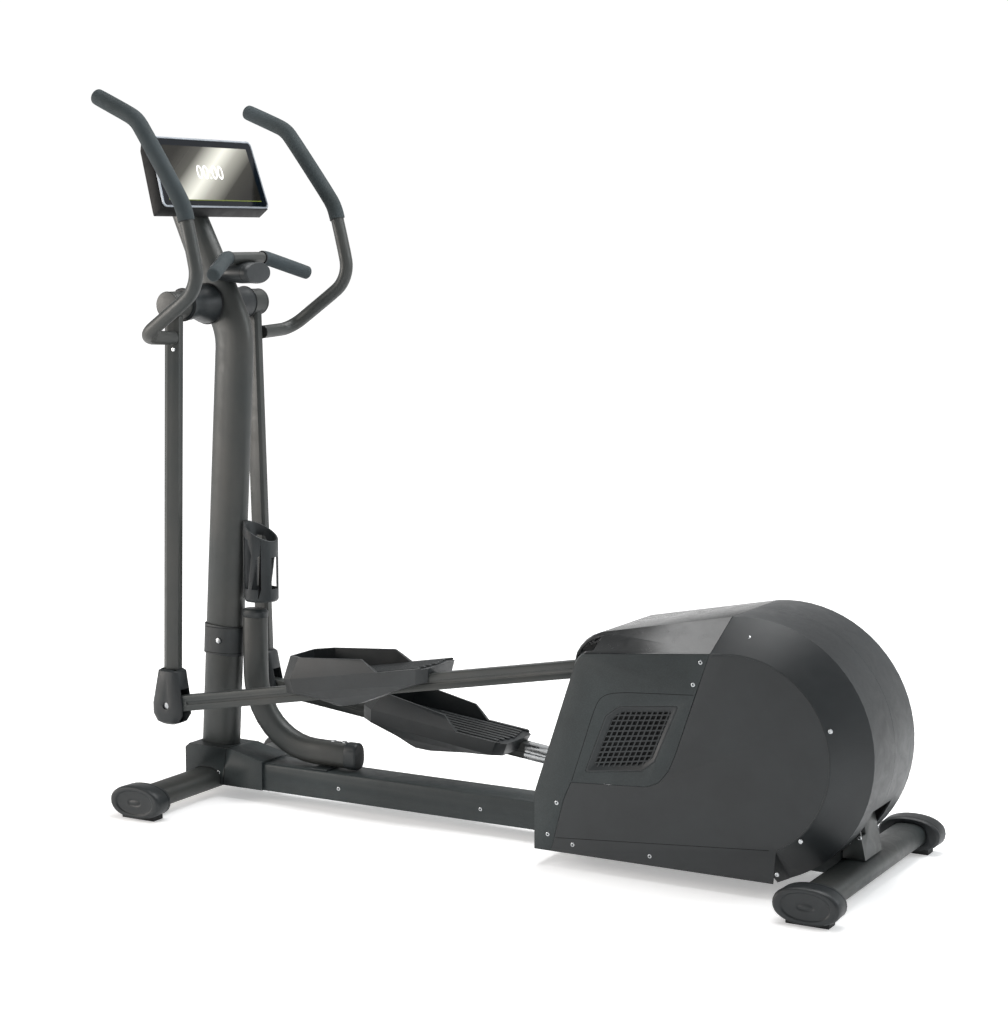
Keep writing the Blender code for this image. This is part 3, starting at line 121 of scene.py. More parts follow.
# %% Selection and modifier helpers
def select_only(*objects):
    """Deselects everything, then selects these objects; the last one is active."""
    if bpy.context.object and bpy.context.object.mode != "OBJECT":
        bpy.ops.object.mode_set(mode="OBJECT")
    bpy.ops.object.select_all(action="DESELECT")
    for item in objects:
        item.select_set(True)
    bpy.context.view_layer.objects.active = objects[-1]


def select_faces(piece, test):
    """Leaves the piece in edit mode with the faces selected whose centre and normal pass the test."""
    select_only(piece)
    bpy.ops.object.mode_set(mode="EDIT")
    bpy.ops.mesh.select_mode(type="FACE")
    bpy.ops.mesh.select_all(action="DESELECT")
    bpy.ops.object.mode_set(mode="OBJECT")
    chosen = 0
    for face in piece.data.polygons:
        face.select = bool(test(face.center, face.normal))
        chosen += face.select
    bpy.ops.object.mode_set(mode="EDIT")
    return chosen


def object_mode():
    bpy.ops.object.mode_set(mode="OBJECT")


def modify(piece, kind, **settings):
    """Adds a modifier with these settings and applies it."""
    select_only(piece)
    bpy.ops.object.modifier_add(type=kind)
    step = piece.modifiers[-1]
    for key, value in settings.items():
        setattr(step, key, value)
    bpy.ops.object.modifier_apply(modifier=step.name)
    return piece


def smooth(piece, degrees=30.0):
    select_only(piece)
    bpy.ops.object.shade_smooth_by_angle(angle=math.radians(degrees))
    return piece


def settle(piece):
    """Puts the object's place, turn and scale into its mesh."""
    select_only(piece)
    bpy.ops.object.transform_apply(location=True, rotation=True, scale=True)
    return piece


def face_out(piece):
    """Merges doubles, then makes the faces point outwards."""
    select_only(piece)
    bpy.ops.object.mode_set(mode="EDIT")
    bpy.ops.mesh.select_all(action="SELECT")
    bpy.ops.mesh.remove_doubles(threshold=0.00001)
    bpy.ops.mesh.normals_make_consistent(inside=False)
    object_mode()
    return piece


def named(piece, name):
    piece.name = name
    piece.data.name = name
    return piece


# %% [markdown]
# ## Colours and nodes
# Colours are written as the hex values a paint chart uses, and turned to the linear values that a
# shader needs. One function adds a node: plain numbers go to its sockets, and another node's
# output is linked.


# %% Colour and node helpers
MIX_SHARE, MIX_A, MIX_B, MIX_OUT = 0, 6, 7, 2       # the colour sockets of a Mix node, by number


def linear(hex_code, alpha=1.0):
    """An sRGB hex colour as linear RGBA."""
    values = [int(hex_code[i:i + 2], 16) / 255 for i in (1, 3, 5)]
    return tuple(v / 12.92 if v <= 0.04045 else ((v + 0.055) / 1.055) ** 2.4 for v in values) + (alpha,)


def add(tree, kind, inputs=None, **settings):
    """Adds a node. A number or colour in inputs is a value, an output socket is a link."""
    made = tree.nodes.new(kind)
    for key, value in settings.items():
        setattr(made, key, value)
    for key, value in (inputs or {}).items():
        if isinstance(value, bpy.types.NodeSocket):
            tree.links.new(value, made.inputs[key])
        else:
            made.inputs[key].default_value = value
    return made


def per_metre(size_mm):
    """A texture's scale for a feature of this size in millimetres."""
    return 1000.0 / size_mm


def new_material(name):
    made = bpy.data.materials.new(name)
    made.use_nodes = True
    tree = made.node_tree
    return made, tree, tree.nodes["Principled BSDF"]


def ramp(tree, source, low, high, first, last):
    """A two-stop colour ramp: first up to low, last from high on."""
    made = add(tree, "ShaderNodeValToRGB", {"Fac": source})
    made.color_ramp.elements[0].position = low
    made.color_ramp.elements[0].color = first
    made.color_ramp.elements[1].position = high
    made.color_ramp.elements[1].color = last
    return made.outputs["Color"]


# %% [markdown]
# ## Finishes with a grain
# Powder-coated steel, moulded plastic and rubber all have a fine grain, a slow drift in tone
# where light and hands have worked on them, and a gloss that isn't quite even. They differ in how
# coarse the grain is and how much it shines. One recipe makes them all: two noises for the grain
# and the drift, and a third, stretched one for the rubbed patches.


# %% A recipe for grained surfaces
def grained(name, dark, light, grain_mm, relief_mm, rough, metallic=0.0, drift_mm=180.0, speck=0.0,
            specular=0.5):
    """A Principled material with grain and tone drift; its gloss varies between the two values of rough."""
    made, tree, shader = new_material(name)
    place = add(tree, "ShaderNodeTexCoord").outputs["Object"]
    grain = add(tree, "ShaderNodeTexNoise",
                {"Vector": place, "Scale": per_metre(grain_mm), "Detail": 3.0,
                 "Roughness": 0.6}).outputs["Fac"]
    drift = add(tree, "ShaderNodeTexNoise",
                {"Vector": place, "Scale": per_metre(drift_mm), "Detail": 4.0,
                 "Roughness": 0.55}).outputs["Fac"]
    rub = add(tree, "ShaderNodeTexNoise",
              {"Vector": place, "Scale": per_metre(38.0), "Detail": 6.0, "Roughness": 0.7,
               "Distortion": 0.8}).outputs["Fac"]
    tone = ramp(tree, drift, 0.32, 0.68, linear(dark), linear(light))
    specks = ramp(tree, grain, 0.45, 0.72, (1.0, 1.0, 1.0, 1.0), (1.0 + speck,) * 3 + (1.0,))
    colour = add(tree, "ShaderNodeMix", {MIX_SHARE: 1.0, MIX_A: tone, MIX_B: specks},
                 data_type="RGBA", blend_type="MULTIPLY")
    gloss = add(tree, "ShaderNodeMapRange",
                {"Value": rub, "From Min": 0.35, "From Max": 0.65, "To Min": rough[0], "To Max": rough[1]})
    bump = add(tree, "ShaderNodeBump", {"Height": grain, "Strength": 0.6, "Distance": relief_mm / 1000})
    tree.links.new(colour.outputs[MIX_OUT], shader.inputs["Base Color"])
    tree.links.new(gloss.outputs["Result"], shader.inputs["Roughness"])
    tree.links.new(bump.outputs["Normal"], shader.inputs["Normal"])
    shader.inputs["Metallic"].default_value = metallic
    shader.inputs["Specular IOR Level"].default_value = specular
    return made


print("recipe ready")

# %% [markdown]
# ## The machine's finishes
# - Tubes: steel with a satin powder coat, sprayed dry and baked, which leaves a faint orange peel.
# - Trim, caps and pedals: moulded ABS with a spark-eroded grain that kills reflections.
# - Side covers: the same ABS in a cooler grey; the rear ones have a finer grain and more sheen.
# - Top cover: ABS polished in the mould, which mirrors the room softly.
# - Console: a black ABS shell with a fine, dull grain, and a rim in silver-grey paint.
# - Grips: closed-cell foam, dull and slightly speckled with open cells.

# %% Grained materials
powder_coat = grained("satin_powder_coat", "#262b2b", "#343533", 1.6, 0.05, (0.40, 0.52), 0.15)
moulded_abs = grained("moulded_abs_charcoal", "#16191b", "#202527", 1.1, 0.10, (0.40, 0.54), speck=0.25,
                      specular=0.4)
shroud_abs = grained("textured_abs_side_cover", "#1e2324", "#282e2f", 1.5, 0.16, (0.46, 0.58), speck=0.55,
                     specular=0.35)
rear_abs = grained("satin_abs_rear_cover", "#181b1d", "#202426", 0.9, 0.04, (0.38, 0.48), specular=0.4)
pedal_abs = grained("glass_filled_nylon_pedal", "#141718", "#1f2325", 1.3, 0.12, (0.38, 0.50), speck=0.4,
                    specular=0.45)
polished_abs = grained("polished_black_abs", "#0a0c0d", "#111415", 2.5, 0.004, (0.18, 0.28), drift_mm=90,
                       specular=0.45)
foam = grained("closed_cell_foam", "#252b2c", "#30373a", 1.2, 0.22, (0.74, 0.88), speck=0.5, specular=0.3)
black_rubber = grained("black_rubber", "#101213", "#1b1d1f", 1.4, 0.08, (0.62, 0.80), specular=0.35)
belt_rubber = grained("belt_rubber", "#0e0f10", "#191a1b", 1.0, 0.10, (0.55, 0.75))
console_abs = grained("fine_grained_black_abs", "#050607", "#0a0c0d", 0.9, 0.05, (0.50, 0.62), specular=0.2)
# Near-black plastic: painted shade in grooves, along creases and on the vents' floors.
painted_shade = grained("shadowed_inner_plastic", "#050606", "#0b0c0d", 2.0, 0.05, (0.7, 0.9), specular=0.2)
rim_paint = grained("silver_grey_paint", "#6f757c", "#8b9198", 1.2, 0.02, (0.30, 0.42), 0.2)
print("materials", len(bpy.data.materials))

# %% [markdown]
# ## Bare metal
# The pins and the screws are steel with a bright zinc plating, and the right rail's tail gets the
# same bright steel as a painted highlight where light catches that rail. Plating follows the drawn
# surface below it, so it shows fine lines along the bar, made here by stretching a noise along X,
# and cloudy patches where it has dulled.


# %% Zinc-plated steel
def bright_metal(name, dark, light, rough, stretch):
    made, tree, shader = new_material(name)
    place = add(tree, "ShaderNodeTexCoord").outputs["Object"]
    drawn = add(tree, "ShaderNodeMapping", {"Vector": place, "Scale": stretch}).outputs["Vector"]
    lines = add(tree, "ShaderNodeTexNoise",
                {"Vector": drawn, "Scale": per_metre(1.2), "Detail": 4.0}).outputs["Fac"]
    cloud = add(tree, "ShaderNodeTexNoise",
                {"Vector": place, "Scale": per_metre(24.0), "Detail": 5.0}).outputs["Fac"]
    gloss = add(tree, "ShaderNodeMapRange",
                {"Value": cloud, "From Min": 0.3, "From Max": 0.7, "To Min": rough[0], "To Max": rough[1]})
    bump = add(tree, "ShaderNodeBump", {"Height": lines, "Strength": 0.35, "Distance": 0.00003})
    tree.links.new(ramp(tree, cloud, 0.3, 0.7, linear(dark), linear(light)), shader.inputs["Base Color"])
    tree.links.new(gloss.outputs["Result"], shader.inputs["Roughness"])
    tree.links.new(bump.outputs["Normal"], shader.inputs["Normal"])
    shader.inputs["Metallic"].default_value = 1.0
    return made


# The screws' plated steel; the right rail's tail takes it too, as a painted highlight.
zinc_steel_and_highlight = bright_metal("zinc_plated_steel_and_painted_highlight", "#9fa2a4", "#c4c7c9", (0.20, 0.34), (0.03, 1.0, 1.0))
ground_steel = bright_metal("ground_steel", "#83868a", "#a9acae", (0.26, 0.40), (1.0, 0.05, 1.0))

# %% [markdown]
# ## Rounding the CAD solids
# A CAD node is loose triangles, so light breaks at every facet. A copy is welded, its coplanar
# triangles are joined into whole faces, its long edges get a small rounding as a moulded or
# pressed edge has, and it is shaded smooth below an angle. The copy then stands for its node and
# moves with the same body. Bars are also subdivided, which turns their flats into a round.

# %% Weld, round and stand in for a node
body_of = {node: body for body, nodes in frame["record"]["behaviour"]["bodies"].items() for node in nodes}


def welded(node):
    """A welded copy of a CAD node's mesh, its coplanar triangles joined."""
    source = frame["nodes"][node]
    piece = bpy.data.objects.new("soft_" + node, source.data.copy())
    bpy.context.scene.collection.objects.link(piece)
    select_only(piece)
    bpy.ops.mesh.customdata_custom_splitnormals_clear()
    bpy.ops.object.mode_set(mode="EDIT")
    bpy.ops.mesh.select_all(action="SELECT")
    bpy.ops.mesh.remove_doubles(threshold=0.00002)
    bpy.ops.mesh.dissolve_limited(angle_limit=math.radians(0.5))
    bpy.ops.mesh.normals_make_consistent(inside=False)
    object_mode()
    return piece


def stands_for(piece, node, finish):
    """Gives the piece its finish and its body, and hides the CAD node."""
    piece.data.materials.clear()
    piece.data.materials.append(finish)
    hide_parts(node)
    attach(piece, body_of[node])
    return piece


def rounded(node, finish, edge_mm=0.8, angle=30.0, sharp=35.0, segments=2):
    """A node's stand-in with its edges rounded."""
    piece = named(welded(node), "fin_" + node)
    if edge_mm:
        modify(piece, "BEVEL", width=edge_mm / 1000, segments=segments, limit_method="ANGLE",
               angle_limit=math.radians(sharp), harden_normals=False, use_clamp_overlap=True)
    smooth(piece, angle)
    return stands_for(piece, node, finish)


def round_bar(node, finish, levels=1, tip=None, tip_mm=11.0):
    """A bar's stand-in: its sharp ends are creased, then it is subdivided. The end tip picks is domed."""
    piece = named(welded(node), "fin_" + node)
    if tip:
        end = max((face.center.copy() for face in piece.data.polygons), key=tip)
        select_faces(piece, lambda c, n: (c - end).length < 1e-6)
        bpy.ops.mesh.bevel(offset=tip_mm / 1000, segments=4, affect="EDGES")
        object_mode()
    select_only(piece)
    bpy.ops.object.mode_set(mode="EDIT")
    bpy.ops.mesh.select_mode(type="EDGE")
    bpy.ops.mesh.select_all(action="DESELECT")
    bpy.ops.mesh.edges_select_sharp(sharpness=math.radians(55))
    bpy.ops.transform.edge_crease(value=0.8)
    object_mode()
    modify(piece, "SUBSURF", levels=levels, render_levels=levels)
    smooth(piece, 50)
    return stands_for(piece, node, finish)


def select_edges_between(piece, low, high):
    """Leaves the piece in edit mode with the edges selected whose faces meet at low to high degrees."""
    select_only(piece)
    bpy.ops.object.mode_set(mode="EDIT")
    bpy.ops.mesh.select_mode(type="EDGE")
    bpy.ops.mesh.select_all(action="DESELECT")
    shape = bmesh.from_edit_mesh(piece.data)
    for edge in shape.edges:
        if len(edge.link_faces) == 2 and low < math.degrees(edge.calc_face_angle()) < high:
            edge.select_set(True)
    bmesh.update_edit_mesh(piece.data)


def soft_rear(side):
    """The rear cover: the bevel between its side and its round back is drawn softly, its seams tightly."""
    node = "rear_shroud_" + side
    piece = named(welded(node), "fin_" + node)
    select_edges_between(piece, 28, 62)
    bpy.ops.mesh.bevel(offset=0.009, segments=5, affect="EDGES", clamp_overlap=True)
    object_mode()
    modify(piece, "BEVEL", width=0.0010, segments=2, limit_method="ANGLE", angle_limit=math.radians(40),
           use_clamp_overlap=True)
    smooth(piece, 30)
    return stands_for(piece, node, rear_abs)


# %% [markdown]
# ## A stand-in for every node
# The roundings are in millimetres: wide on the beam's cover, fine on the housings and grilles. The
# last angle, where one is given, is how far the surface may turn and still be shaded as one.

# %% Frame, base and bars
for node in ("front_stabiliser", "rear_stabiliser", "mast", "brace_tube", "rear_bracket",
             "drive_plate_left", "drive_plate_right"):
    rounded(node, powder_coat)
for node in ("brace_bracket", "brace_end_cap", "brace_top_cap", "mast_band", "bottle_cage", "handlebar_stem",
             "drive_pulley"):
    rounded(node, moulded_abs)
rounded("base_beam", shroud_abs, 1.5)
rounded("beam_cover", shroud_abs, 3.0, 40, segments=4)
for side, sign in SIDES:
    for end in ("front", "rear"):
        rounded(f"{end}_foot_{side}", moulded_abs, 1.2, 40)
    rounded("pivot_housing_" + side, moulded_abs, 0.6, 40)
    rounded("lever_hub_" + side, powder_coat, 1.0, 40)
    rounded("lever_tube_" + side, powder_coat, 1.0, 28)
    rounded("boot_" + side, moulded_abs, 1.2, 40)
    rounded("rail_" + side, powder_coat, 1.0, 40)
    rounded("pedal_" + side, pedal_abs, 1.2, 16)
    rounded("front_shroud_" + side, shroud_abs, 1.2, 26)
    soft_rear(side)
    rounded("crank_arm_" + side, powder_coat, 1.0)
    round_bar("handlebar_" + side, powder_coat)
    round_bar("grip_" + side, foam, tip=lambda c: c.z - c.x)
    round_bar("static_grip_" + side, foam, tip=lambda c: abs(c.y), tip_mm=8.0)
    rounded("rail_pin_" + side, ground_steel, 0.5)
    rounded("crank_bearing_" + side, ground_steel, 0.3)
rounded("top_cover", polished_abs, 1.2, 26)
# The right rail's tail is bright plated steel as a painted highlight; the left rail is powder-coated to its
# end.
rounded("rail_tail_right", zinc_steel_and_highlight, 1.0)
rounded("power_inlet", polished_abs, 0.6)
round_bar("static_handlebar", powder_coat)
rounded("pivot_shaft", ground_steel, 0.5)
rounded("crank_axle", ground_steel, 0.5)
rounded("flywheel", ground_steel, 0.8)
rounded("drive_belt", belt_rubber, 0.3)
rounded("console_housing", console_abs, 1.5)

# %% [markdown]
# ## Seams and grooves
# Where two mouldings meet, or a sleeve ends, there is a thin dark line. A modeller would cut the
# surface with two close planes and push in the strip between them. Bisect does the cutting, and
# a shrink pushes the strip in; the strip also gets the finish the call passes, which is black
# rubber for some grooves and, for the others, a near-black plastic that is painted shade.


# %% A groove across a piece
def groove(piece, point, normal, width_mm, finish, depth_mm=0.5, where=None):
    """Cuts a dark groove round the piece, in the plane through point across normal."""
    point, normal = Vector(point), Vector(normal).normalized()
    half = width_mm / 2000
    select_only(piece)
    for offset in (-half, half):
        bpy.ops.object.mode_set(mode="EDIT")
        bpy.ops.mesh.select_mode(type="FACE")
        bpy.ops.mesh.select_all(action="SELECT")
        bpy.ops.mesh.bisect(plane_co=point + normal * offset, plane_no=normal)
        object_mode()
    if finish.name not in piece.data.materials:
        piece.data.materials.append(finish)
    chosen = select_faces(piece, lambda c, n: abs((c - point).dot(normal)) < half and abs(n.dot(normal)) < 0.9
                          and (where is None or where(c, n)))
    if chosen:
        bpy.context.object.active_material_index = list(piece.data.materials).index(finish)
        bpy.ops.object.material_slot_assign()
        bpy.ops.transform.shrink_fatten(value=-depth_mm / 1000)
    object_mode()
    return piece


def repaint(piece, test, finish):
    """Gives the faces that pass the test another finish."""
    if finish.name not in piece.data.materials:
        piece.data.materials.append(finish)
    chosen = select_faces(piece, test)
    if chosen:
        bpy.context.object.active_material_index = list(piece.data.materials).index(finish)
        bpy.ops.object.material_slot_assign()
    object_mode()
    return chosen


def oval_panel(cap, sign):
    """Rings the sunk oval in a stabiliser cap's end with a step and a raised middle."""
    far = max(v.co.y * sign for v in cap.data.vertices)
    sunk = [f for f in cap.data.polygons if f.normal.y * sign > 0.98 and f.center.y * sign < far - 0.001]
    middle = max(sunk, key=lambda f: (round(f.center.y * sign, 3), f.area)).center.copy()
    select_faces(cap, lambda c, n: (c - middle).length < 1e-6)
    bpy.ops.mesh.inset(thickness=0.0032, depth=0)
    bpy.ops.mesh.inset(thickness=0.0008, depth=-0.0010)
    bpy.ops.mesh.inset(thickness=0.0022, depth=0)
    bpy.ops.mesh.inset(thickness=0.0010, depth=0.0008)
    object_mode()


def fin(node):
    return bpy.data.objects["fin_" + node]


# %% [markdown]
# ## Seams of the frame
# The pod behind the mast has an end cap, the beam's cover has a joint in its side, the stabilisers
# have rubber pads, and the pivot housings meet the mast and the hubs in dark outlines.

# %% Grooves on the frame's covers
# Grooves in the near-black plastic carry painted shade.
stem_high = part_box("handlebar_stem")[1]
groove(fin("handlebar_stem"), (stem_high.x - 0.019, 0, stem_high.z), (1, 0, 0), 2.4, black_rubber, 0.8)
cover_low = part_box("beam_cover")[0]
groove(fin("beam_cover"), (cover_low.x + 0.105, 0, 0), (1, 0, -0.12), 1.6, painted_shade, 0.6)
for side, sign in SIDES:
    low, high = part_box("pivot_housing_" + side)
    inner, outer = (low.y, high.y) if sign > 0 else (high.y, low.y)
    groove(fin("pivot_housing_" + side), (0, inner + sign * 0.0022, 0), (0, 1, 0), 3.2, black_rubber, 0.8)
    groove(fin("pivot_housing_" + side), (0, inner + sign * 0.055, 0), (0.35, 1, 0.1), 2.4, black_rubber, 0.6)
    hub_low, hub_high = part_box("lever_hub_" + side)
    hub_outer = hub_high.y if sign > 0 else hub_low.y
    groove(fin("lever_hub_" + side), (0, hub_outer - sign * 0.006, 0), (0, 1, 0), 1.6, painted_shade, 0.5)
    for end in ("front", "rear"):
        repaint(fin(f"{end}_foot_{side}"), lambda c, n: c.z < 0.0105, black_rubber)
        oval_panel(fin(f"{end}_foot_{side}"), sign)
        cap_low, cap_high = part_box(f"{end}_foot_{side}")
        inner_y = cap_low.y if sign > 0 else cap_high.y
        groove(fin(f"{end}_foot_{side}"), (0, inner_y + sign * 0.012, 0), (0, 1, 0), 1.6, painted_shade, 0.5,
               lambda c, n: c.z > 0.006)
band_low, band_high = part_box("mast_band")
for z in (band_low.z + 0.008, band_high.z - 0.008):
    groove(fin("mast_band"), (0, 0, z), (0, 0, 1), 1.4, painted_shade, 0.5)
repaint(fin("brace_end_cap"), lambda c, n: n.x > 0.8, black_rubber)
print("grooves cut")

# %% [markdown]
# ## Where the grips end
# Each foam sleeve is clamped at its end by a black rubber ring. The ring is drawn out of the
# sleeve's own end face, so it follows the bar's direction exactly.


# %% Sleeve rings
def sleeve_ring(piece, test, reach_mm=2.0):
    """Draws a rubber ring out of the end faces of a sleeve."""
    piece.data.materials.append(black_rubber)
    if not select_faces(piece, test):
        object_mode()
        print("no end face on", piece.name)
        return
    bpy.context.object.active_material_index = len(piece.data.materials) - 1
    bpy.ops.mesh.extrude_region_shrink_fatten(TRANSFORM_OT_shrink_fatten={"value": reach_mm / 1000})
    bpy.ops.object.material_slot_assign()
    bpy.ops.mesh.select_more()
    bpy.ops.object.material_slot_assign()
    object_mode()


for side, sign in SIDES:
    low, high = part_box("grip_" + side)
    sleeve_ring(fin("grip_" + side), lambda c, n: c.z < low.z + 0.006 and n.z < -0.6)
    low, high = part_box("static_grip_" + side)
    inner = low.y if sign > 0 else high.y
    sleeve_ring(fin("static_grip_" + side), lambda c, n: abs(c.y - inner) < 0.004 and n.y * sign < -0.6, 3.5)

# %% [markdown]
# ## Pulse plates
# The fixed grips carry a steel contact plate on their front, under the fingers, which reads the
# pulse. The plate takes its shape from the grip: its faces there are inset as one and drawn out.


# %% Contact plates on the fixed grips
for side, sign in SIDES:
    grip = fin("static_grip_" + side)
    low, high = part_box("static_grip_" + side)
    inner, outer = sorted((abs(low.y), abs(high.y)))
    grip.data.materials.append(ground_steel)
    chosen = select_faces(grip, lambda c, n: n.x < -0.25 and n.z > -0.2
                          and inner + 0.022 < abs(c.y) < outer - 0.020)
    if chosen:
        bpy.ops.mesh.inset(thickness=0.0010, depth=0)
        bpy.ops.transform.shrink_fatten(value=0.0004)
        bpy.context.object.active_material_index = len(grip.data.materials) - 1
        bpy.ops.object.material_slot_assign()
    object_mode()

# %% [markdown]
# ## Screws and bolts
# The covers are held by small plated screws with a round head and a driver socket, and the clamp
# and the brace by larger hexagon bolts. One of each is modelled, then copied: every copy gets a
# mesh of its own, turned to face out of the surface and sunk a little into it.


# %% Model a screw and a bolt, then place copies
SCREW_RADIUS, SCREW_HEIGHT = 0.0047, 0.0026
BOLT_RADIUS, BOLT_HEIGHT = 0.0068, 0.0060
SINK_MM = 0.3


def pan_screw(radius, height):
    """A screw head about +Z: a rounded disc with a round, sunk socket."""
    bpy.ops.mesh.primitive_cylinder_add(vertices=24, radius=radius, depth=height, location=(0, 0, height / 2))
    head = bpy.context.object
    select_faces(head, lambda c, n: n.z > 0.9)
    bpy.ops.mesh.bevel(offset=height * 0.45, segments=3, affect="EDGES")
    object_mode()
    select_faces(head, lambda c, n: n.z > 0.99)
    bpy.ops.mesh.inset(thickness=radius * 0.28, depth=0)
    bpy.ops.mesh.inset(thickness=radius * 0.04, depth=-height * 0.5)
    object_mode()
    return smooth(head, 35)


def hex_bolt(radius, height):
    """A hexagon bolt head about +Z on its washer face."""
    bpy.ops.mesh.primitive_cylinder_add(vertices=6, radius=radius, depth=height, location=(0, 0, height / 2))
    head = bpy.context.object
    select_faces(head, lambda c, n: n.z > 0.9)
    bpy.ops.mesh.bevel(offset=height * 0.18, segments=2, affect="EDGES")
    object_mode()
    select_faces(head, lambda c, n: n.z < -0.9)
    bpy.ops.mesh.extrude_region_move(TRANSFORM_OT_translate={"value": (0, 0, -0.001)})
    bpy.ops.transform.resize(value=(1.25, 1.25, 1.0))
    object_mode()
    return smooth(head, 30)


def place_copy(model, name, point, outward, body="frame"):
    """A zinc-plated copy of the model with its +Z along outward, its own mesh holding the place."""
    piece = bpy.data.objects.new(name, model.data.copy())
    bpy.context.scene.collection.objects.link(piece)
    outward = Vector(outward).normalized()
    turn = outward.to_track_quat("Z", "Y").to_matrix().to_4x4()
    piece.matrix_world = Matrix.Translation(Vector(point) - outward * SINK_MM / 1000) @ turn
    settle(piece)
    named(piece, name)
    piece.data.materials.clear()
    piece.data.materials.append(zinc_steel_and_highlight)
    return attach(piece, body)


select_only(fin("mast"))
screw = pan_screw(SCREW_RADIUS, SCREW_HEIGHT)
bolt = hex_bolt(BOLT_RADIUS, BOLT_HEIGHT)
# The screws on each side of the casing and of the rear bracket, as (x, z).
SIDE_SCREWS = ((0.547, 0.468), (0.531, 0.421), (0.825, 0.357), (0.767, 0.129), (0.718, 0.055), (0.222, 0.139),
               (0.201, 0.069), (0.260, 0.054), (0.438, 0.054))
BRACKET_SCREWS = ((0.815, 0.100), (0.838, 0.112))
for side, sign in SIDES:
    for i, (x, z) in enumerate(SIDE_SCREWS):
        place_copy(screw, f"cover_screw_{side}_{i}", (x, sign * side_y, z), (0, sign, 0))
    place_copy(screw, f"shoulder_screw_{side}", (0.636, sign * 0.155, 0.5215), (0, sign * 0.68, 0.73))
place_copy(screw, "ridge_screw", (0.517, 0.0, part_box("top_cover")[1].z - 0.018), (-0.18, 0, 1))
print("screws", 2 * len(SIDE_SCREWS) + 3)

bracket_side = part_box("rear_bracket")[1].y
for side, sign in SIDES:
    for i, (x, z) in enumerate(BRACKET_SCREWS):
        place_copy(screw, f"bracket_screw_{side}_{i}", (x, sign * bracket_side, z), (0, sign, 0))

# %% [markdown]
# ## Fixings of the frame and the levers
# Screws run along the beam, the first on its cover, and hold the levers below their hubs. Two
# hexagon bolts hold the brace to the beam, and one closes the band round the mast.

# %% Bolts of the clamp, the brace, the levers and the beam
BEAM_SCREW_X, BEAM_SCREW_HEIGHT, COVER_WALL = (-0.755, -0.420, -0.045, 0.115), 0.058, 0.006
beam_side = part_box("base_beam")[1].y
for side, sign in SIDES:
    for i, x in enumerate(BEAM_SCREW_X):
        wall = beam_side + (COVER_WALL if i == 0 else 0)
        place_copy(screw, f"beam_screw_{side}_{i}", (x, sign * wall, BEAM_SCREW_HEIGHT), (0, sign, 0))
    lever_low, lever_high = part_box("lever_tube_" + side)
    outer = lever_high.y if sign > 0 else lever_low.y
    place_copy(screw, "lever_screw_" + side, (hub.x + 0.006, sign * (abs(outer) - 0.0032), hub.z - 0.100),
               (0, sign, 0), side + "_lever")
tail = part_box("brace_end_cap")[1]
for i, x in enumerate((tail.x - 0.070, tail.x - 0.040)):
    place_copy(bolt, f"brace_bolt_{i}", (x, 0.0, tail.z - 0.003 + 0.001 * i), (0.05, 0, 1))
mid = (band_low.z + band_high.z) / 2
place_copy(bolt, "band_bolt", (band_high.x - 0.050, band_low.y, mid), (0, -1, 0))
bpy.data.objects.remove(screw, do_unlink=True)
bpy.data.objects.remove(bolt, do_unlink=True)

# %% [markdown]
# ## The vents
# Behind each side vent is a square lattice. A grid of cells is laid over the opening's four
# corners, each cell is inset and its middle deleted, which leaves the bars, and Solidify gives
# them their depth. The dish round it is the CAD frame; its floor is painted near-black, which is
# painted shade behind the lattice.

# %% Vents
VENT = ((0.301, 0.222), (0.357, 0.350), (0.490, 0.364), (0.442, 0.243))      # the lattice's corners, (x, z)
VENT_CELLS = 11
for side, sign in SIDES:
    dish = rounded("grille_" + side, moulded_abs, 0.4, 30)
    floor_y = side_y - 0.008
    # The dish's floor is painted near-black: painted shade behind the lattice.
    repaint(dish, lambda c, n: n.y * sign > 0.9 and abs(c.y) < floor_y + 0.002, painted_shade)
    bpy.ops.mesh.primitive_grid_add(x_subdivisions=VENT_CELLS, y_subdivisions=VENT_CELLS, size=1.0)
    lattice = named(bpy.context.object, "vent_lattice_" + side)
    corners = [Vector((x, sign * (floor_y + 0.0016), z)) for x, z in VENT]
    for vertex in lattice.data.vertices:
        across, up = vertex.co.x + 0.5, vertex.co.y + 0.5
        low_edge = corners[0].lerp(corners[3], across)
        vertex.co = low_edge.lerp(corners[1].lerp(corners[2], across), up)
    select_faces(lattice, lambda c, n: True)
    bpy.ops.mesh.inset(thickness=0.0017, depth=0, use_individual=True)
    bpy.ops.mesh.delete(type="FACE")
    object_mode()
    modify(lattice, "SOLIDIFY", thickness=0.0022, offset=0.0)
    modify(lattice, "BEVEL", width=0.0003, segments=1, limit_method="ANGLE")
    face_out(lattice)
    lattice.data.materials.append(moulded_abs)
    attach(lattice, "frame")
    print("vent", side, len(lattice.data.polygons), "faces")

# %% [markdown]
# ## Lines in the side covers
# The side panel has a raised ring round the crank's axis, a crease above the floor and a moulded
# line that frames the vent. They are thin beads: a curve through a few points, given a round
# section, made a mesh and sunk halfway into the cover. The crease and the line round the vent
# are near-black: painted shade along them.


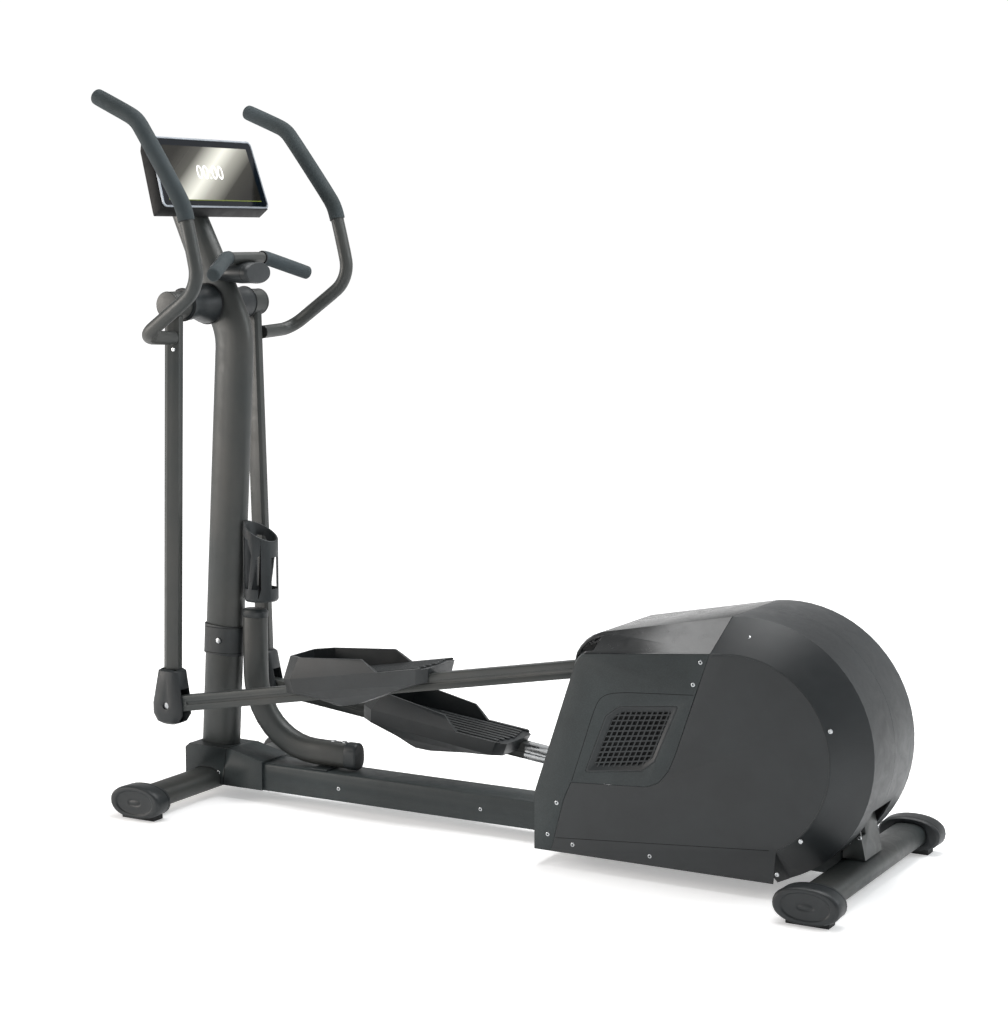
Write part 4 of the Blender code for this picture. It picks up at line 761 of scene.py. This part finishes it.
# %% Beads along a line
def bead(name, points, radius_mm, finish, body, closed=False, smooth_curve=True):
    """A thin round bead along these points, closed into a ring or with capped ends."""
    select_only(fin("mast"))
    bpy.ops.curve.primitive_bezier_curve_add()
    line = bpy.context.object
    data = line.data
    data.splines.clear()
    spline = data.splines.new("NURBS" if smooth_curve else "POLY")
    spline.points.add(len(points) - 1)
    for target, point in zip(spline.points, points):
        target.co = (*point, 1.0)
    spline.use_cyclic_u = closed
    if smooth_curve:
        spline.order_u = 3
        spline.use_endpoint_u = not closed
        spline.resolution_u = 6
    data.dimensions = "3D"
    data.bevel_depth = radius_mm / 1000
    data.bevel_resolution = 2
    data.use_fill_caps = not closed
    settle_curve(line)
    piece = named(bpy.context.object, name)
    face_out(piece)
    smooth(piece, 60)
    piece.data.materials.clear()
    piece.data.materials.append(finish)
    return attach(piece, body)


def settle_curve(line):
    select_only(line)
    bpy.ops.object.convert(target="MESH")
    settle(bpy.context.object)


def end_loop(piece, y, centre, count=36):
    """The outermost points of a piece in the plane at y, in order round an axis along Y."""
    found = {}
    for vertex in piece.data.vertices:
        if abs(vertex.co.y - y) < 0.0014:
            away = vertex.co - centre
            angle = round(math.atan2(away.z, away.x) / (2 * math.pi) * count) % count
            reach = math.hypot(away.x, away.z)
            if reach > found.get(angle, (0,))[0]:
                found[angle] = (reach, Vector((vertex.co.x, y, vertex.co.z)))
    return [found[angle][1] for angle in sorted(found)]


for side, sign in SIDES:
    low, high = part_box("pivot_housing_" + side)
    inner, outer = sorted((abs(low.y), abs(high.y)))
    for end, y in (("inner", inner + 0.0012), ("outer", outer - 0.0012)):
        loop = end_loop(fin("pivot_housing_" + side), sign * y, hub)
        bead(f"housing_ring_{side}_{end}", loop, 1.5, black_rubber, "frame", closed=True)

PANEL_RADIUS, DRUM_HEIGHT = 0.2045, 0.284
drum_centre = Vector((crank_axis.x, 0, DRUM_HEIGHT))
for side, sign in SIDES:
    y = sign * side_y
    arc = [drum_centre + Vector((PANEL_RADIUS * math.cos(a), y, PANEL_RADIUS * math.sin(a)))
           for a in (math.radians(-62 + 166 * i / 40) for i in range(41))]
    bead("panel_ring_" + side, arc, 1.1, rear_abs, "frame")
    # The vent's line and the crease are near-black beads: painted shade.
    frame_line = [(0.257, y, 0.190), (0.283, y, 0.268), (0.306, y, 0.340), (0.322, y, 0.375),
                  (0.356, y, 0.388), (0.440, y, 0.394), (0.533, y, 0.3995)]
    bead("vent_line_" + side, frame_line, 0.5, painted_shade, "frame")
    crease = [(0.219, y, 0.064), (0.400, y, 0.078), (0.560, y, 0.0905), (0.700, y, 0.1015)]
    bead("cover_crease_" + side, crease, 0.5, painted_shade, "frame", smooth_curve=False)

# %% [markdown]
# ## Pedal treads
# The tread has long rounded ribs that run fore and aft, low at their ends. One rib is a block
# whose top edges are rounded off; the others are copies set side by side. They are laid out along
# the rail, whose slope is read from the top face of the CAD rail.


# %% Pedal treads
def rail_slope(side):
    """The rail's slope, from the normal of the largest triangle on its top."""
    level = [f for f in frame["nodes"]["rail_" + side].data.polygons if f.normal.z > 0.9]
    top = max(level, key=lambda f: f.area)
    return math.atan2(-top.normal.x, top.normal.z)


def along_rail(side, along, across, up):
    """A point on a rail: a distance from its pivot, across the machine, and up from its middle line."""
    slope, start = rail_slope(side), rail_joint[side]
    return Vector((start.x + along * math.cos(slope) - up * math.sin(slope), across,
                   start.z + along * math.sin(slope) + up * math.cos(slope)))


# The tread's height over the rail's middle line and its middle across the machine; the ribs' span
# along the rail, from its pivot, and how much a rib loses at each end for each step from the middle.
TREAD_UP, PEDAL_MIDDLE = 0.031, 0.1175
RIB_COUNT, RIB_PITCH, RIB_WIDTH, RIB_HEIGHT = 7, 0.0178, 0.0098, 0.0048
RIB_START, RIB_END, START_STEP, END_STEP = 0.452, 0.712, 0.010, 0.004
for side, sign in SIDES:
    turn = Matrix.Rotation(-rail_slope(side), 4, "Y")
    for i in range(RIB_COUNT):
        steps = i - (RIB_COUNT - 1) / 2
        offset = steps * RIB_PITCH
        start = RIB_START + START_STEP * abs(steps)
        end = RIB_END - END_STEP * abs(steps)
        bpy.ops.mesh.primitive_cube_add(size=1.0)
        rib = named(bpy.context.object, f"tread_rib_{side}_{i}")
        rib.scale = (end - start, RIB_WIDTH, RIB_HEIGHT)
        settle(rib)
        select_faces(rib, lambda c, n: n.z > 0.9)
        bpy.ops.mesh.inset(thickness=0.0030, depth=0)
        bpy.ops.transform.translate(value=(0, 0, 0.0012))
        object_mode()
        modify(rib, "BEVEL", width=0.0016, segments=3, limit_method="ANGLE", angle_limit=math.radians(20))
        smooth(rib, 40)
        rib.matrix_world = Matrix.Translation(
            along_rail(side, (start + end) / 2, sign * (PEDAL_MIDDLE + offset), TREAD_UP + 0.0012)) @ turn
        settle(rib)
        rib.data.materials.append(pedal_abs)
        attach(rib, side + "_rail")
print("ribs", 2 * RIB_COUNT)

# %% [markdown]
# ## The console's face
# The console is a tablet in a thin painted rim, with a dark glass border and the display. The face
# is drawn flat with rounded corners and inset for the rim, which leaves the border, and the
# display is a thin sheet of its own that lies on it. Both are then stood at the place and tilt of
# the CAD glass. The display is coloured, and glows, with a pale diagonal band across a dark field.


# %% Console glass and display
def console_matrix():
    """The console's frame: its face's centre, with +X out of the glass and +Z up its height."""
    glass = frame["nodes"]["console_glass"].data
    front = max((f for f in glass.polygons if f.normal.x > 0.7), key=lambda f: f.area)
    normal = front.normal.copy()
    normal.y = 0
    normal.normalize()
    corners = [v.co for v in glass.vertices]
    reach = max(c.dot(normal) for c in corners)
    face = [c for c in corners if reach - c.dot(normal) < 0.0005]
    centre = Vector(((min(c.x for c in face) + max(c.x for c in face)) / 2, 0.0,
                     (min(c.z for c in face) + max(c.z for c in face)) / 2))
    up = Vector((-normal.z, 0, normal.x))
    frame_ = Matrix((normal, Vector((0, 1, 0)), up)).transposed().to_4x4()
    return Matrix.Translation(centre) @ frame_


stand = console_matrix()
local = [stand.inverted() @ v.co for v in frame["nodes"]["console_glass"].data.vertices]
half_z = max(v.z for v in local)
low_y = max(v.y for v in local if v.z < 0)
top_y = max(v.y for v in local if v.z > 0)
print("console face", round(2 * low_y, 3), round(2 * top_y, 3), round(2 * half_z, 3))


CONSOLE_LEAN = math.radians(16.3)
LINE_UP = 0.0180                # the display's lower line ends this far above the console's lower edge


def display_material():
    """A backlit display behind glass: a pale band across a dark field, and a thin line at the bottom."""
    made, tree, shader = new_material("backlit_display_glass")
    place = add(tree, "ShaderNodeTexCoord").outputs["Object"]
    flat = add(tree, "ShaderNodeMapping", {"Vector": place, "Location": (0.0, 0.0, -stand.translation.z)})
    axes = add(tree, "ShaderNodeSeparateXYZ", {"Vector": flat.outputs["Vector"]})
    across = add(tree, "ShaderNodeMath", {0: axes.outputs["Y"], 1: 2.4}, operation="MULTIPLY")
    rise = add(tree, "ShaderNodeMath", {0: axes.outputs["Z"], 1: -3.6}, operation="MULTIPLY")
    slant = add(tree, "ShaderNodeMath", {0: across.outputs[0], 1: rise.outputs[0]}, operation="ADD")
    share = add(tree, "ShaderNodeMath", {0: slant.outputs[0], 1: 0.5}, operation="ADD")
    picture = add(tree, "ShaderNodeValToRGB", {"Fac": share.outputs[0]})
    stops = ((0.06, "#191815"), (0.26, "#3a3935"), (0.48, "#aeada4"), (0.62, "#75746d"), (0.80, "#24231f"),
             (1.0, "#12110f"))
    while len(picture.color_ramp.elements) < len(stops):
        picture.color_ramp.elements.new(0.5)
    for element, (position, colour) in zip(picture.color_ramp.elements, stops):
        element.position = position
        element.color = linear(colour)
    line_height = -half_z * math.cos(CONSOLE_LEAN) + LINE_UP
    line = add(tree, "ShaderNodeMath", {0: axes.outputs["Z"], 1: line_height}, operation="LESS_THAN")
    image = add(tree, "ShaderNodeMix", {MIX_SHARE: line.outputs[0], MIX_A: picture.outputs["Color"],
                                        MIX_B: linear("#4d5620")}, data_type="RGBA")
    tree.links.new(image.outputs[MIX_OUT], shader.inputs["Base Color"])
    tree.links.new(image.outputs[MIX_OUT], shader.inputs["Emission Color"])
    shader.inputs["Emission Strength"].default_value = 0.6
    dust = add(tree, "ShaderNodeTexNoise",
               {"Vector": place, "Scale": per_metre(16.0), "Detail": 6.0}).outputs["Fac"]
    gloss = add(tree, "ShaderNodeMapRange",
                {"Value": dust, "From Min": 0.35, "From Max": 0.7, "To Min": 0.05, "To Max": 0.14})
    tree.links.new(gloss.outputs["Result"], shader.inputs["Roughness"])
    return made


display = display_material()
border_glass = grained("blue_black_border_glass", "#02070d", "#060c14", 3.0, 0.002, (0.05, 0.12), drift_mm=80)


def console_sheet(name, side_mm, foot_mm, top_mm, x, corner):
    """A flat sheet with rounded corners across the console, this far in from the edges of its face."""
    bpy.ops.mesh.primitive_plane_add(size=1.0)
    sheet = named(bpy.context.object, name)
    side = side_mm / 1000
    foot_z, top_z = -half_z + foot_mm / 1000, half_z - top_mm / 1000
    corners = ((-low_y + side, foot_z), (low_y - side, foot_z), (-top_y + side, top_z), (top_y - side, top_z))
    for vertex, (y, z) in zip(sheet.data.vertices, corners):
        vertex.co = (x, y, z)
    select_faces(sheet, lambda c, n: True)
    bpy.ops.mesh.bevel(offset=corner, segments=8, affect="VERTICES")
    object_mode()
    if sheet.data.polygons[0].normal.x < 0:
        select_faces(sheet, lambda c, n: True)
        bpy.ops.mesh.flip_normals()
        object_mode()
    return sheet


def stand_up(sheet, thickness_mm):
    """Gives the sheet its thickness, and stands it at the console's place and tilt."""
    modify(sheet, "SOLIDIFY", thickness=thickness_mm / 1000, offset=-1.0)
    face_out(sheet)
    smooth(sheet, 12)
    sheet.matrix_world = stand
    settle(sheet)
    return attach(sheet, "frame")


face = console_sheet("console_face", 0.3, 0.3, 0.3, -0.0012, 0.014)
for finish in (rim_paint, border_glass):
    face.data.materials.append(finish)


def inset_front(piece, thickness, depth, index):
    """Insets the largest front face, and gives the new inner face a finish."""
    fronts = [f for f in piece.data.polygons if f.normal.x > 0.9]
    middle = max(fronts, key=lambda f: f.area).center.copy()
    select_faces(piece, lambda c, n: n.x > 0.9 and (c - middle).length < 1e-5)
    bpy.ops.mesh.inset(thickness=thickness, depth=depth)
    bpy.context.object.active_material_index = index
    bpy.ops.object.material_slot_assign()
    object_mode()


inset_front(face, 0.0034, 0.0010, 0)
inset_front(face, 0.0010, -0.0012, 1)
stand_up(face, 4.5)
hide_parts("console_glass")
panel = console_sheet("console_display", 26.0, 17.0, 20.0, -0.0011, 0.002)
panel.data.materials.append(display)
stand_up(panel, 0.2)

# %% [markdown]
# ## The clock
# The display counts the time in generic digits. Text becomes a mesh that lies on the display.

# %% The clock on the display
bpy.ops.object.text_add()
clock = bpy.context.object
clock.data.body = "00:00"
clock.data.size = 0.046
clock.data.align_x = "CENTER"
clock.data.align_y = "CENTER"
clock.data.extrude = 0.0001
bpy.ops.object.convert(target="MESH")
clock = named(bpy.context.object, "display_clock")
clock.matrix_world = stand @ Matrix.Translation((-0.0007, 0.0, 0.0)) @ Matrix(
    ((0, 0, 1, 0), (1, 0, 0, 0), (0, 1, 0, 0), (0, 0, 0, 1)))
settle(clock)
face_out(clock)
clock_made, clock_tree, clock_shader = new_material("backlit_white_segment")
clock_place = add(clock_tree, "ShaderNodeTexCoord").outputs["Object"]
clock_grid = add(clock_tree, "ShaderNodeTexNoise",
                 {"Vector": clock_place, "Scale": per_metre(6.0)}).outputs["Fac"]
clock_tree.links.new(ramp(clock_tree, clock_grid, 0.3, 0.7, linear("#e8e8e4"), linear("#ffffff")),
                     clock_shader.inputs["Base Color"])
clock_shader.inputs["Emission Color"].default_value = (1, 1, 1, 1)
clock_shader.inputs["Emission Strength"].default_value = 0.35
clock.data.materials.append(clock_made)
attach(clock, "frame")

# %% [markdown]
# ## Floor, light and camera
# The floor is a wide pale sheet under a big overhead softbox, with weaker ones from the left and
# from behind. The room is white at the horizon and greyer overhead, so that dark surfaces pick up
# long soft highlights. The camera stands behind and to the left of the machine.


# %% Floor, light and camera
def studio():
    select_only(bpy.data.objects["fin_mast"])
    bpy.ops.mesh.primitive_plane_add(size=60.0, location=(0.0, 0.0, 0.0))
    floor = named(bpy.context.object, "studio_floor")
    made, tree, shader = new_material("white_paper_floor")
    place = add(tree, "ShaderNodeTexCoord").outputs["Object"]
    drift = add(tree, "ShaderNodeTexNoise", {"Vector": place, "Scale": 0.8, "Detail": 3.0}).outputs["Fac"]
    paper = ramp(tree, drift, 0.3, 0.7, linear("#f6f6f6"), linear("#fafafa"))
    tree.links.new(paper, shader.inputs["Base Color"])
    shader.inputs["Roughness"].default_value = 0.9
    shader.inputs["Specular IOR Level"].default_value = 0.1
    shader.inputs["Emission Color"].default_value = (1.0, 1.0, 1.0, 1.0)
    away = add(tree, "ShaderNodeVectorMath", {0: place}, operation="LENGTH").outputs["Value"]
    lit = add(tree, "ShaderNodeMapRange",
              {"Value": away, "From Min": 1.2, "From Max": 5.0, "To Min": 0.34, "To Max": 0.75})
    tree.links.new(lit.outputs["Result"], shader.inputs["Emission Strength"])
    floor.data.materials.append(made)
    floor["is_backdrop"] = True
    world = bpy.context.scene.world or bpy.data.worlds.new("studio")
    bpy.context.scene.world = world
    world.use_nodes = True
    sky = world.node_tree
    background = sky.nodes["Background"]
    direction = add(sky, "ShaderNodeTexCoord").outputs["Generated"]
    height = add(sky, "ShaderNodeSeparateXYZ", {"Vector": direction}).outputs["Z"]
    share = add(sky, "ShaderNodeMapRange",
                {"Value": height, "From Min": 0.12, "From Max": 0.38, "To Min": 1.02, "To Max": 0.40})
    background.inputs["Color"].default_value = (1.0, 1.0, 1.0, 1.0)
    sky.links.new(share.outputs["Result"], background.inputs["Strength"])
    # Each lamp: its name, place and aim, the width of its square in metres, its power in watts, its colour.
    lamps = (("overhead_softbox", (0.2, 0.6, 3.4), (0.0, 0.0, 0.4), 2.6, 120.0, (1.0, 1.0, 1.0)),
             ("left_softbox", (-3.5, -2.3, 1.3), (-0.2, 0.0, 0.7), 1.5, 90.0, (1.0, 0.93, 0.87)),
             ("rear_softbox", (3.4, 1.6, 2.6), (0.3, 0.0, 0.5), 1.8, 60.0, (0.92, 0.97, 1.0)))
    for name, place_, aim, size, power, colour in lamps:
        bpy.ops.object.light_add(type="AREA", location=place_)
        lamp = bpy.context.object
        lamp.name = name
        lamp.data.size = size
        lamp.data.energy = power
        lamp.data.color = colour
        lamp.rotation_euler = (Vector(aim) - Vector(place_)).to_track_quat("-Z", "Y").to_euler()
    bpy.ops.object.camera_add(location=(2.3436, -4.2168, 1.3177),
                              rotation=(math.pi / 2 - 0.120225, 0.0, 0.509118))
    camera = bpy.context.object
    camera.name = "studio_camera"
    camera.data.lens = 79.40
    camera.data.sensor_width = 36.0
    bpy.context.scene.camera = camera
    bpy.context.scene.view_settings.view_transform = "Standard"


studio()

# %% [markdown]
# ## Sizes, and the end
# The visual model's box is measured and printed. The visual model has to stay inside the
# CAD model's box.

# %% Measure and finish
low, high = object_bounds()
print("visual box", [round(v, 4) for v in (*low, *high)])
